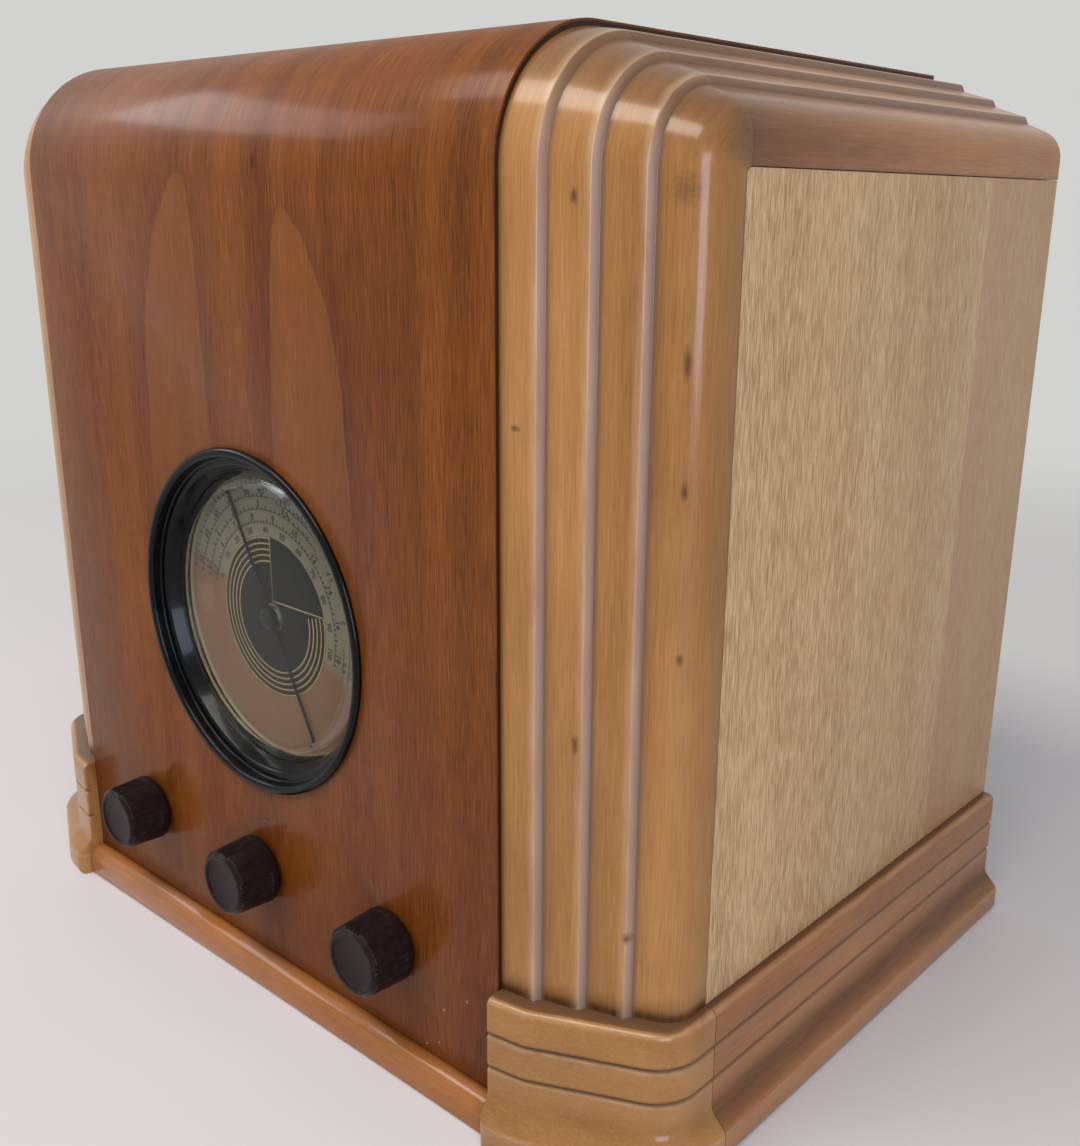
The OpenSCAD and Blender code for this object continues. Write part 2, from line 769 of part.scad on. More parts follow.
module drive_cord() color("#c9b98a") {
    cord_arc(dial_z, drum_cord_r, -cord_lean, 180 + 2 * cord_lean);
    cord_arc(knob_z, spindle_cord_r, 180 + cord_lean, 180 - 2 * cord_lean);
    both_sides() translate([0, drive_y, knob_z]) rotate([0, cord_lean, 0])
        translate([spindle_cord_r, 0, 0]) cylinder(h = cord_run, r = cord_r, $fn = 24);
}

// Knobs, shafts and what they turn

module knob(x) color(bakelite) difference() {
    turned(x, knob_z) polygon(outline([
        [shaft_r, -knob_gap, 0],
        [knob_r, -knob_gap, knob_back_r],
        [knob_face_r, knob_chamfer - knob_reach, 0],
        [knob_face_r - knob_chamfer, -knob_reach, 0],
        [knob_face_r - knob_chamfer - knob_rim, -knob_reach, 0],
        [knob_face_r - knob_chamfer - 2 * knob_rim, knob_dish - knob_reach, 0],
        [0, knob_dish - knob_reach, 0],
        [0, knob_bore_end - knob_reach, 0],
        [shaft_r, knob_bore_end - knob_reach, 0]
    ]));
    for (group = [0:flute_groups - 1], i = [0:flutes - 1])
        translate([x, -knob_reach, knob_z])
            rotate([0, 360 * group / flute_groups + flute_pitch * (i - (flutes - 1) / 2), 0])
                translate([knob_face_r, 0, 0]) rotate([-90, 0, -knob_lean]) translate([0, 0, -cut])
                    cylinder(h = knob_reach - knob_gap - flute_stop + cut, r = flute_r);
}

module volume_knob() knob(control_x[0]);

module tuning_knob() knob(control_x[1]);

module band_knob() knob(control_x[2]);

module shaft(x, back) color(steel) bar(x, knob_z, shaft_r, knob_bore_end - knob_reach, back);

module volume_shaft() shaft(control_x[0], control_back + control_l - 2 * flange_t);

module band_shaft() shaft(control_x[2], control_back + wafer_y[1] + 2 * wafer_t);

module tuning_shaft() {
    shaft(control_x[1], control_back + flange_t + nut_t);
    color(brass) turned(control_x[1], knob_z) polygon(cord_rim(shaft_r / 2, spindle_cord_r));
}

// Threaded neck through the chassis front, with its nut and a flange behind
module neck(x, flange_r) turned(x, knob_z) polygon([
    [shaft_r + running_fit, chassis_y - nut_t],
    [nut_r, chassis_y - nut_t],
    [nut_r, chassis_y],
    [neck_r, chassis_y],
    [neck_r, control_back],
    [flange_r, control_back],
    [flange_r, control_back + flange_t],
    [shaft_r + running_fit, control_back + flange_t]
]);

module tuning_bushing() color(brass) neck(control_x[1], nut_r);

module volume_control() color(steel) {
    neck(control_x[0], control_r);
    difference() {
        bar(control_x[0], knob_z, control_r, control_back + flange_t / 2, control_back + control_l);
        bar(control_x[0], knob_z, shaft_r + running_fit, control_back, control_back + control_l - flange_t);
    }
}

module band_switch() color(bakelite) {
    neck(control_x[2], control_r);
    for (y = wafer_y) difference() {
        bar(control_x[2], knob_z, control_r, control_back + y, control_back + y + wafer_t);
        bar(control_x[2], knob_z, shaft_r + running_fit, control_back, control_back + y + wafer_t + cut);
    }
    for (side = [-1, 1])
        bar(control_x[2] + side * wafer_rod_x, knob_z, rod_r, control_back + flange_t / 2,
            control_back + wafer_y[1] + wafer_t);
}

// Chassis and what stands on it

module chassis_pan() color(steel) difference() {
    union() {
        translate([-chassis_w / 2, chassis_y, chassis_z]) cube([chassis_w, chassis_d, chassis_h]);
        translate([-chassis_w / 2 - foot_w, chassis_y, chassis_z])
            cube([chassis_w + 2 * foot_w, chassis_d, sheet_t]);
    }
    translate([-chassis_w / 2 + sheet_t, chassis_y + sheet_t, chassis_z - cut])
        cube([chassis_w - 2 * sheet_t, chassis_d - 2 * sheet_t, chassis_h - sheet_t + cut]);
    for (x = control_x) bar(x, knob_z, neck_r, chassis_y - cut, control_back + cut);
    bar(grommet_p.x, grommet_p.y, grommet_r, chassis_back - sheet_t - cut, chassis_back + cut);
    for (p = bolt_places) translate([p.x, p.y, chassis_z - cut]) cylinder(h = sheet_t + 2 * cut, r = bolt_r);
}

module chassis_bolts() color(steel) for (p = bolt_places) translate([p.x, p.y, chassis_z]) {
    cylinder(h = sheet_t, r = bolt_r);
    translate([0, 0, sheet_t]) cylinder(h = bolt_head_h, r = bolt_head_r, $fn = 6);
}

module transformer_bell() hull() {
    translate([-transformer.x / 2, -bell_t, 0]) cube([transformer.x, bell_t, transformer.z]);
    translate([bell_inset.x - transformer.x / 2, -bell_depth, bell_inset.y])
        cube([transformer.x - 2 * bell_inset.x, bell_t, transformer.z - bell_inset.y - bell_inset.z]);
}

module power_transformer() color(lacquer) translate([transformer_place.x, transformer_place.y, deck_z]) {
    core_y = transformer.y / 2 - bell_depth;
    translate([-transformer.x / 2, -core_y, 0]) cube([transformer.x, 2 * core_y, transformer.z]);
    for (turn = [0, 180]) rotate([0, 0, turn]) translate([0, -core_y, 0]) transformer_bell();
}

module filter_capacitor() color(aluminium) translate([can_place.x, can_place.y, deck_z]) {
    cylinder(h = can_h - can_step.y, r = can_r);
    cylinder(h = can_h, r = can_r - can_step.x);
    cylinder(h = can_foot.y, r = can_r + can_foot.x);
}

module if_cans() color(aluminium) for (p = if_places) translate([p.x, p.y, deck_z]) difference() {
    linear_extrude(if_can.z) polygon(outline([
        [-if_can.x / 2, -if_can.y / 2, if_can_r],
        [if_can.x / 2, -if_can.y / 2, if_can_r],
        [if_can.x / 2, if_can.y / 2, if_can_r],
        [-if_can.x / 2, if_can.y / 2, if_can_r]
    ]));
    for (side = [-1, 1]) translate([side * if_trimmer.x, 0, if_can.z - if_trimmer.z])
        cylinder(h = if_trimmer.z + cut, r = if_trimmer.y);
}

module valve_sockets() color(bakelite) for (p = valve_places) translate([p.x, p.y, deck_z]) {
    cylinder(h = socket_t, r = socket_r);
    translate([-socket_ear.x / 2, -socket_r - socket_ear.y, 0])
        cube([socket_ear.x, 2 * (socket_r + socket_ear.y), socket_ear.z]);
}

module valve_bases() color(bakelite) for (p = valve_places) translate([p.x, p.y, deck_z + socket_t]) {
    cylinder(h = valve_base_step.y + cut, r = valve_base_r - valve_base_step.x);
    translate([0, 0, valve_base_step.y]) cylinder(h = valve_base_h - valve_base_step.y, r = valve_base_r);
}

// Electrodes that stand on their stem inside each bulb
module valve_anodes() color(steel) for (p = valve_places)
    translate([p.x, p.y, deck_z + socket_t + valve_base_h]) {
        cylinder(h = anode_z + cut, r = stem_r);
        translate([0, 0, anode_z]) cylinder(h = anode_h, r = anode_r);
    }

// Half section of a shouldered bulb: a neck, a swelling and a narrower dome
function bulb_section(shape, wall) = outline([
    [0, 0, 0],
    [shape[0] - wall, 0, 0],
    [shape[1] - wall, shape[3] * 0.28, bulb_r],
    [shape[1] - wall, shape[3] * 0.52, bulb_r],
    [shape[2] - wall, shape[3] * 0.66, bulb_r],
    [shape[2] - wall, shape[3] - wall, (shape[2] - wall) * 0.75],
    [0, shape[3] - wall, 0]
], 8);

module bulb(p, shape) color("#9fb0ac") translate([p.x, p.y, deck_z + socket_t + valve_base_h]) difference() {
    rotate_extrude() polygon(bulb_section(shape, 0));
    rotate_extrude() polygon(bulb_section(shape, bulb_t));
}

module signal_bulbs() for (p = signal_places) bulb(p, signal_shape);

module output_bulb() bulb(output_place, power_shape);

module rectifier_bulb() bulb(rectifier_place, power_shape);

module terminal_strip() color(paper) translate([strip_p.x, chassis_back, strip_p.y]) {
    translate([-strip.x / 2, 0, -strip.z / 2]) cube(strip);
    for (i = [-1:1]) bar(i * post_pitch, 0, post_r, strip.y, strip.y + post_l);
}

module cord_grommet() color("#1c1a18") turned(grommet_p.x, grommet_p.y) polygon([
    [grommet_bore_r, chassis_back - sheet_t - grommet_flange],
    [grommet_r + grommet_flange, chassis_back - sheet_t - grommet_flange],
    [grommet_r + grommet_flange, chassis_back - sheet_t],
    [grommet_r, chassis_back - sheet_t],
    [grommet_r, chassis_back],
    [grommet_r + grommet_flange, chassis_back],
    [grommet_r + grommet_flange, chassis_back + grommet_lip],
    [grommet_bore_r, chassis_back + grommet_lip]
]);

place() front_panel();
place() left() corner_post();  // left_corner_post
place() corner_post();  // right_corner_post
place() left() top_rail();  // left_top_rail
place() top_rail();  // right_top_rail
place() left() side_panel();  // left_side_panel
place() side_panel();  // right_side_panel
place() left() base_corner();  // left_base_corner
place() base_corner();  // right_base_corner
place() left() base_side();  // left_base_side
place() base_side();  // right_base_side
place() front_rail();
place() bottom_board();
place() baffle_cleats();
place() speaker_baffle();
place() grille_cloth();
place() speaker_frame();
place() speaker_cone();
place() speaker_magnet();
place() output_transformer();
place() dial_bezel();
place() dial_glass();
place() dial_plate();
place() dial_retainer();
place() dial_pointer();
place() dial_lamps();
place() lamp_brackets();
place() condenser_pedestal();
place() condenser_frame();
place() condenser_stators();
place() condenser_rotor();
place() drive_drum();
place() drive_cord();
place() volume_knob();
place() tuning_knob();
place() band_knob();
place() volume_shaft();
place() tuning_shaft();
place() band_shaft();
place() volume_control();
place() band_switch();
place() tuning_bushing();
place() chassis_pan();
place() chassis_bolts();
place() power_transformer();
place() filter_capacitor();
place() if_cans();
place() valve_sockets();
place() valve_bases();
place() valve_anodes();
place() signal_bulbs();
place() output_bulb();
place() rectifier_bulb();
place() terminal_strip();
place() cord_grommet();
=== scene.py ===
import json
from math import acos, atan2, cos, hypot, pi, radians, sin, sqrt, tan

import bpy
from mathutils import Matrix, Vector


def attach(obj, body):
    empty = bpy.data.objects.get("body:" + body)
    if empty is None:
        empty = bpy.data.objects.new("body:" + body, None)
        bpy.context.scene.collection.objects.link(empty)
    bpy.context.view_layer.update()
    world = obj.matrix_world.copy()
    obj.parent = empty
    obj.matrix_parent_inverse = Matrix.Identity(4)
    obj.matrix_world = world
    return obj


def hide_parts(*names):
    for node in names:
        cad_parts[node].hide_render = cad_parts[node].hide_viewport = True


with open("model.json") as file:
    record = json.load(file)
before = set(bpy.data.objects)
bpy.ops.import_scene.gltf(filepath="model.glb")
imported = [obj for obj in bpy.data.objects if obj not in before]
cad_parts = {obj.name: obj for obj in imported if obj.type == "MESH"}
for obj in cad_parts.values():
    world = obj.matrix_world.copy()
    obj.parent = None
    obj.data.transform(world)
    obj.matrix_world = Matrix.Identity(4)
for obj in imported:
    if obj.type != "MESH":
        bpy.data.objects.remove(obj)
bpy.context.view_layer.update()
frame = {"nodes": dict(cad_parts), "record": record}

# Sizes in millimetres: y is counted backwards from the face of the front panel
FACE_Y = 113.5
HALF_W = 127
SIDE_X = 181
CAB_H = 345
CAB_D = 246
PANEL_T = 6
CORNER_D = 39
BEND_R = 41
BEND_Z = CAB_H - BEND_R
BASE_H = 53
BASE_X = 185.5
DIAL_Z = 148
DIAL_HOLE_R = 61.65
KNOB_X = 76
KNOB_Z = 49.6
SHAFT_HOLE_R = 4.175
# The gap between two lengths that meet
SEAM = 0.15
# A millimetre in metres
MM = 0.001


def at(x, y, z):
    """A place in millimetres as one in the shared frame, in metres."""
    return Vector((x, y - FACE_Y, z)) * MM


# Materials


def hue(code):
    """An sRGB hex colour as linear red, green, blue and alpha."""
    parts = [int(code[i:i + 2], 16) / 255 for i in (1, 3, 5)]
    return [c / 12.92 if c <= 0.04045 else ((c + 0.055) / 1.055) ** 2.4 for c in parts] + [1]


def add(tree, kind, feeds=(), stops=(), **settings):
    """Adds a node with its settings. A node, a socket, a hex colour or a value feeds each input, by name or in order.
    The kind can name the operation too. A mix is one of colours: its share at 0, its colours at 6 and 7.
    The stops of a ramp hold a place and a hex colour or a grey."""
    kind, _, operation = kind.partition(" ")
    n = tree.nodes.new("ShaderNode" + kind)
    if operation:
        n.operation = operation
    if kind == "Mix":
        n.data_type = "RGBA"
    for key, value in settings.items():
        setattr(n, key, value)
    for key, value in feeds.items() if isinstance(feeds, dict) else enumerate(feeds):
        if isinstance(value, bpy.types.Node):
            value = next(o for o in value.outputs if o.enabled)
        if isinstance(value, bpy.types.NodeSocket):
            tree.links.new(value, n.inputs[key])
        else:
            n.inputs[key].default_value = hue(value) if isinstance(value, str) else value
    if stops:
        points = n.color_ramp.elements
        while len(points) < len(stops):
            points.new(0.5)
        for point, (place, tone) in zip(points, stops):
            point.position = place
            point.color = hue(tone) if isinstance(tone, str) else (tone, tone, tone, 1)
    return n


def blank(name):
    """A new material with an empty tree."""
    m = bpy.data.materials.new(name)
    m.use_nodes = True
    m.node_tree.nodes.clear()
    return m, m.node_tree


def surface(tree, feeds, bump, strength, distance):
    """The finish: a Principled shader with its bump, and the material's output."""
    normal = add(tree, "Bump", {"Height": bump, "Strength": strength, "Distance": distance})
    add(tree, "OutputMaterial", {"Surface": add(tree, "BsdfPrincipled", {**feeds, "Normal": normal})})


def grained(t, stops, fibre, band, pore, patch):
    """Wood under lacquer: fibres, slow bands, open pores and uneven stain.
    The grain attribute holds metres across, along and into the piece, so the fibres follow a bend."""
    lay = add(t, "Attribute", attribute_name="grain").outputs["Vector"]
    fibres, bands, pores, cloud = (
        add(t, "TexNoise", {"Vector": add(t, "Mapping", {"Vector": lay, "Scale": (1, long, 1), "Location": shift}),
                            "Scale": scale, "Detail": detail, "Roughness": rough})
        for long, shift, scale, detail, rough in (
            # fibres about 0.5 mm wide and thirty times as long
            (0.033, (0, 0, 0), 2000, 4, 0.65),
            # growth bands about 18 mm wide that wander along the board
            (0.05, (0.31, 0, 0.2), 55, 4, 0.55),
            # open pores about 0.4 mm wide and 11 mm long
            (0.035, (0, 0.5, 0.7), 2600, 2, 0.5),
            # stain that took unevenly, in patches about 60 mm wide
            (0.4, (0, 0, 0), 16, 3, 0.6)))
    fine = add(t, "Math MULTIPLY_ADD", (fibres, fibre, 0.5 - fibre / 2))
    slow = add(t, "Math MULTIPLY_ADD", (bands, band, -band / 2))
    shift = add(t, "Math MULTIPLY_ADD", (cloud, patch, -patch / 2))
    tone = add(t, "Math ADD", (add(t, "Math ADD", (fine, slow)), shift))
    slots = add(t, "ValToRGB", {"Fac": pores}, [(0.30, 1.0), (0.43, 0.0)])
    tone = add(t, "Math MULTIPLY_ADD", (slots, -0.12 * pore, tone))
    height = add(t, "Math SUBTRACT", (fibres, slots))
    return lay, add(t, "ValToRGB", {"Fac": tone}, stops), height


def lacquer(t, lay, colour, height, coat, rough, shine, wet):
    """Old brushed lacquer: a soft gloss over a duller wood, rubbed unevenly."""
    # rubbed patches about 8 mm across
    rub = add(t, "TexNoise", {"Vector": lay, "Scale": 120, "Detail": 5, "Roughness": 0.65})
    gloss = add(t, "MapRange", {"Value": rub, "To Min": rough - 0.06, "To Max": rough + 0.12})
    surface(t, {"Base Color": colour, "Roughness": gloss, "Coat Weight": coat, "Coat Roughness": wet, "IOR": 1.5,
                "Specular IOR Level": shine}, height, strength=0.1, distance=0.0004)


def flecked(t, lay, colour, ink):
    """Dents and flecks a millimetre or two across, few and far between."""
    here = add(t, "Mapping", {"Vector": lay, "Scale": (1, 0.5, 1)})
    dots = add(t, "TexVoronoi", {"Vector": here, "Scale": 38, "Randomness": 1})
    small = add(t, "ValToRGB", {"Fac": dots}, [(0.03, 1.0), (0.06, 0.0)])
    sparse = add(t, "TexNoise", {"Vector": lay, "Scale": 27, "Detail": 0})
    few = add(t, "ValToRGB", {"Fac": sparse}, [(0.62, 0.0), (0.66, 0.85)])
    return add(t, "Mix", {0: add(t, "Math MULTIPLY", (small, few)), 6: colour, 7: ink})


def spot(t, lay, colour, place, size, ink, share):
    """One mark at a place in the wood, size mm across and along."""
    wide, long = size
    here = add(t, "Mapping", {"Vector": lay, "Scale": (1, wide / long, 0)})
    off = add(t, "VectorMath DISTANCE", (here, (place[0] * MM, place[1] * wide / long * MM, 0)))
    ragged = add(t, "TexNoise", {"Vector": here, "Scale": 900, "Detail": 3})
    off = add(t, "Math MULTIPLY_ADD", (ragged, wide * 0.0006, off))
    mask = add(t, "MapRange", {
        "Value": off, "From Min": wide * 0.0004, "From Max": wide * 0.0009, "To Min": share, "To Max": 0})
    return add(t, "Mix", {0: mask, 6: colour, 7: ink})


# Two tongues of the figure: where the tip lies across and along the sheet in mm, and how far the left and right
# edges stand from the tip at lengths below it, out to REACH below and SPREAD aside
REACH, SPREAD = 200, 40
TONGUES = (
    (-24.5, 306, ((0, 0), (4, 4.5), (10, 9.5), (23, 18.5), (45, 25.5), (65, 30), (200, 34)),
     ((0, 0), (3, 3), (8, 4.8), (22, 6.2), (62, 8.5), (200, 15))),
    (33.5, 295, ((0, 0), (3, 3.5), (8, 5.5), (22, 7.5), (53, 11), (200, 13)),
     ((0, 0), (4, 5), (10, 10), (23, 16.5), (34, 21.5), (48, 25), (60, 27.5), (200, 32))))

# Marks on the panel, each with its place across and up and its size in mm, its colour and its share: a small nail
# under the dial, two dark checks in the grain and specks of pale paint near the foot
NAIL = 2.3, 69.6
SPLASHES = (101.3, 33.5), (92.2, 15.7), (98.5, 19.2), (61.8, 8.4), (112.7, 42.1)
# the nail is a dark head with a grey-blue painted glint in its middle
MARKS = [(NAIL, (2.4, 2.4), "#2a1812", 0.85), (NAIL, (1, 1), "#8e9299", 0.8),
         ((-55, 240), (1.2, 12), "#30160b", 0.8), ((61, 232), (1.2, 14), "#30160b", 0.6)]
MARKS += [(place, (1, 1), "#b9a893", 0.7) for place in SPLASHES]


def walnut_veneer():
    """Walnut veneer, stained orange-brown and lacquered: straight close grain with two paler tongues."""
    m, t = blank("walnut_veneer")
    stops = [(0.24, "#4b2407"), (0.42, "#67360e"), (0.54, "#754013"), (0.76, "#90541e")]
    lay, colour, height = grained(t, stops, fibre=0.85, band=0.55, pore=1.3, patch=0.25)
    part = add(t, "SeparateXYZ", {"Vector": lay})
    here = add(t, "Mapping", {"Vector": lay, "Scale": (1, 0.35, 1)})
    wander = add(t, "TexNoise", {"Vector": here, "Scale": 70, "Detail": 3})
    across = add(t, "Math MULTIPLY_ADD", (wander, 0.005, part.outputs[0]))
    for tip_x, tip_s, left, right in TONGUES:
        below = add(t, "Math MULTIPLY_ADD", (part.outputs[1], -1 / (REACH * MM), tip_s / REACH))
        aside = add(t, "Math SUBTRACT", (across, tip_x * MM + 0.0025))
        gaps = []
        for edge, turn in ((left, 1), (right, -1)):
            reach = add(t, "ValToRGB", {"Fac": below}, [(d / REACH, w / SPREAD) for d, w in edge])
            gaps.append(add(t, "Math MULTIPLY_ADD", (reach, SPREAD * MM, add(t, "Math MULTIPLY", (aside, turn)))))
        inside = add(t, "Math MINIMUM", (gaps[0], gaps[1]))
        fade = add(t, "MapRange", {"Value": below, "From Min": 0.35, "From Max": 0.85, "To Min": 1, "To Max": 0.15})
        begun = add(t, "MapRange", {"Value": below, "From Min": 0, "From Max": 0.02})
        fade = add(t, "Math MULTIPLY", (fade, begun))
        # paler within, and a mauve shade outside that fades away from the edge
        pale = add(t, "MapRange", {"Value": inside, "From Min": -0.0003, "From Max": 0.0005, "To Max": 0.23})
        shade = add(t, "MapRange", {"Value": inside, "From Min": -0.016, "From Max": -0.0002, "To Max": 0.36})
        dark = add(t, "Math MAXIMUM", (add(t, "Math SUBTRACT", (shade, pale)), 0))
        colour = add(t, "Mix", {0: add(t, "Math MULTIPLY", (dark, fade)), 6: colour, 7: "#592c18"})
        colour = add(t, "Mix", {0: add(t, "Math MULTIPLY", (pale, fade)), 6: colour, 7: "#9c6231"})
    # painted shade: the sheet darker towards the foot, where less light falls from above
    low = add(t, "MapRange", {
        "Value": part.outputs[1], "From Min": 0.02, "From Max": 0.2, "To Min": 0.32, "To Max": 0})
    colour = add(t, "Mix", {0: low, 6: colour, 7: "#47210f"})
    colour = flecked(t, lay, colour, "#2c160c")
    for mark in MARKS:
        colour = spot(t, lay, colour, *mark)
    # the foot of the sheet's cut edge is dark along the seams: the edge's own black, and painted shade of the gap
    # beside the posts
    out = add(t, "Math ABSOLUTE", (part.outputs[0],))
    seam_black_and_shade = add(t, "MapRange", {
        "Value": out, "From Min": HALF_W * MM - 0.0003, "From Max": HALF_W * MM - 0.0001, "To Max": 0.92})
    root = add(t, "MapRange", {"Value": part.outputs[2], "From Min": 0.0005, "From Max": 0.0008})
    colour = add(t, "Mix", {0: add(t, "Math MULTIPLY", (seam_black_and_shade, root)), 6: colour, 7: "#241813"})
    lacquer(t, lay, colour, height, coat=0.24, rough=0.42, shine=0.08, wet=0.17)
    return m


def carved_maple(name, stops, dusty, rubbed, stain_and_shade_ink, marks=()):
    """Maple under old lacquer: even fine grain, dust on the risers, pale edges that are rubbed and carry a painted
    highlight, and dark feet, seams and tops, partly stain and partly painted shade. Its attribute holds the shares of
    dust, of rubbing with painted highlight, and of stain with painted shade in its red, green and blue."""
    m, t = blank(name)
    lay, colour, height = grained(t, stops, fibre=0.4, band=0.4, pore=0.25, patch=0.45)
    wear_and_painted_light = add(t, "SeparateColor", {"Color": add(t, "Attribute", attribute_name="wear_and_painted_light").outputs["Color"]})
    # wear comes and goes along an edge over a few centimetres
    here = add(t, "Mapping", {"Vector": lay, "Scale": (1, 0.12, 1)})
    rub = add(t, "TexNoise", {"Vector": here, "Scale": 240, "Detail": 4, "Roughness": 0.6})
    # blue lays stain and painted shade, red lays dust, green lays rubbed edges and painted highlight
    for channel, ink, low, high in ("Blue", stain_and_shade_ink, 0.8, 1.0), ("Red", dusty, 0.7, 1.0), ("Green", rubbed, 0.25, 1.0):
        come = add(t, "ValToRGB", {"Fac": rub}, [(0.32, low), (0.62, high)])
        share = add(t, "Math MULTIPLY", (wear_and_painted_light.outputs[channel], come))
        colour = add(t, "Mix", {0: share, 6: colour, 7: ink})
    colour = flecked(t, lay, colour, "#3a2413")
    for place, size in marks:
        colour = spot(t, lay, colour, place, size, "#3b2414", 0.75 if size[0] < 4 else 0.4)
    lacquer(t, lay, colour, height, coat=0.6, rough=0.38, shine=0.14, wet=0.16)
    return m


def side_board_veneer():
    """Pale side veneer in two leaves: short broken streaks all over, and a redder, smoother leaf at the back."""
    m, t = blank("pale_side_veneer")
    stops = [(0.25, "#8d6a40"), (0.42, "#ac8a5f"), (0.55, "#bd9b6e"), (0.75, "#cfb285")]
    lay, colour, height = grained(t, stops, fibre=0.75, band=0.4, pore=1.2, patch=0.25)
    # broken streaks, pale and dark, about 0.4 mm wide and 7 mm long
    here = add(t, "Mapping", {"Vector": lay, "Scale": (1, 0.06, 1)})
    streak = add(t, "TexNoise", {"Vector": here, "Scale": 2300, "Detail": 2, "Roughness": 0.5})
    for stops, ink in (([(0.52, 0.0), (0.66, 0.6)], "#d4bb98"), ([(0.34, 0.6), (0.46, 0.0)], "#8a6745")):
        colour = add(t, "Mix", {0: add(t, "ValToRGB", {"Fac": streak}, stops), 6: colour, 7: ink})
    reach = add(t, "SeparateXYZ", {"Vector": lay}).outputs[0]
    leaf = add(t, "MapRange", {"Value": reach, "From Min": 0.1885, "From Max": 0.1893, "To Max": 0.5})
    colour = add(t, "Mix", {0: leaf, 6: colour, 7: "#a37858"})
    # a plainer strip in front of that leaf
    strip = add(t, "MapRange", {"Value": reach, "From Min": 0.133, "From Max": 0.1337, "To Max": 0.2})
    colour = add(t, "Mix", {0: strip, 6: colour, 7: "#b08a58"})
    lacquer(t, lay, colour, height, coat=0.15, rough=0.45, shine=0.3, wet=0.14)
    return m


walnut = walnut_veneer()

# Burns and bruises on the right-hand post: place across and along, and size, in mm
BRUISES = (((148, 298), (2.6, 5)), ((132.4, 236), (3.4, 2)), ((174.5, 300), (8, 9)), ((176, 256), (2.2, 9)),
           ((176.4, 222), (1.8, 6)), ((176.8, 173), (2, 4)), ((150.4, 143.6), (2.4, 7)), ((166, 81.4), (2.4, 4)))
# Honey-toned maple, as on the posts and the corners of the base
maple = carved_maple("honey_maple", [(0.26, "#7d4e22"), (0.42, "#956633"), (0.56, "#a87740"), (0.76, "#bb8d56")],
                     dusty="#9a8176", rubbed="#cdb08c", stain_and_shade_ink="#482a15", marks=BRUISES)
# The same maple with more stain left on it, as on the rails and along the base
stained_maple = carved_maple(
    "stained_maple", [(0.26, "#6e401c"), (0.42, "#8f5b2c"), (0.56, "#a66e3a"), (0.76, "#bd864c")],
    dusty="#7f614b", rubbed="#c4a07a", stain_and_shade_ink="#401f10")
# Maple stained amber, as on the foot rail
amber_maple = carved_maple(
    "amber_maple", [(0.26, "#613214"), (0.42, "#844b20"), (0.56, "#9b5e2b"), (0.76, "#b3773d")],
    dusty="#7a5238", rubbed="#cb9a5e", stain_and_shade_ink="#3c1d0d")
side_veneer = side_board_veneer()


def bare_plywood():
    """Unfinished birch ply: dull, pale, with broad rotary-cut figure."""
    m, t = blank("birch_plywood")
    place = add(t, "TexCoord").outputs["Object"]
    # figure about 17 mm wide and fibres of 0.8 mm, both drawn out along the sheet
    here = add(t, "Mapping", {"Vector": place, "Scale": (0.12, 1, 1)})
    broad = add(t, "TexNoise", {"Vector": here, "Scale": 60, "Detail": 5, "Roughness": 0.6, "Distortion": 0.8})
    here = add(t, "Mapping", {"Vector": place, "Scale": (0.03, 1, 1)})
    fine = add(t, "TexNoise", {"Vector": here, "Scale": 1300, "Detail": 4})
    tone = add(t, "Math MULTIPLY", (add(t, "Math ADD", (broad, fine)), 0.5))
    colour = add(t, "ValToRGB", {"Fac": tone}, [(0.34, "#7c5a34"), (0.5, "#a5814f"), (0.64, "#bb9a66")])
    surface(t, {"Base Color": colour, "Roughness": 0.72}, fine, strength=0.2, distance=0.0003)
    return m


plywood = bare_plywood()


def moulded(name, dark, light, rough, scratch, coat=0.0, scale=420, shine=0.5, edge=None, specks=(0.46, 0.74)):
    """Moulded, painted or printed stuff: slight mottle or fine dust specks, and paler edges where it is rubbed."""
    m, t = blank(name)
    place = add(t, "TexCoord").outputs["Object"]
    # specks of 2.4 mm, or finer by scale, that come and go over 13 mm
    mottle = add(t, "TexNoise", {"Vector": place, "Scale": scale, "Detail": 6, "Roughness": 0.68})
    slow = add(t, "TexNoise", {"Vector": place, "Scale": 75, "Detail": 3})
    mask = add(t, "Math MULTIPLY", (add(t, "ValToRGB", {"Fac": mottle}, [(specks[0], 0.0), (specks[1], 1.0)]), slow))
    colour = add(t, "Mix", {0: add(t, "Math MULTIPLY", (mask, scratch * 2)), 6: dark, 7: light})
    if edge:
        worn = add(t, "Attribute", attribute_name="edge_wear")
        patchy = add(t, "ValToRGB", {"Fac": mottle}, [(0.4, 0.1), (0.62, 0.9)])
        share = add(t, "Math MULTIPLY", (worn.outputs["Fac"], patchy))
        colour = add(t, "Mix", {0: share, 6: colour, 7: edge})
    gloss = add(t, "MapRange", {"Value": mottle, "To Min": rough - 0.08, "To Max": rough + 0.14})
    surface(t, {"Base Color": colour, "Roughness": gloss, "Coat Weight": coat, "Coat Roughness": 0.08, "IOR": 1.55,
                "Specular IOR Level": shine}, mottle, strength=0.05, distance=0.0002)
    return m


# Phenolic bakelite, moulded dark brown and polished, greyed where fingers rub it
bakelite = moulded(
    "brown_bakelite", "#1a0e0d", "#30252a", rough=0.36, scratch=0.3, coat=0.05, shine=0.1, edge="#8d8078")
# Paper laminate soaked in resin: dull brown with a faint mottle
phenolic = moulded("laminated_phenolic", "#3a2313", "#5b3a22", rough=0.5, scratch=0.3)
# Stoved black enamel: deep and wet-looking, with dust specks
enamel = moulded("black_enamel", "#040506", "#8fa0b0", rough=0.21, scratch=0.9, coat=0.15, scale=1500, shine=0.09,
                 specks=(0.68, 0.73))
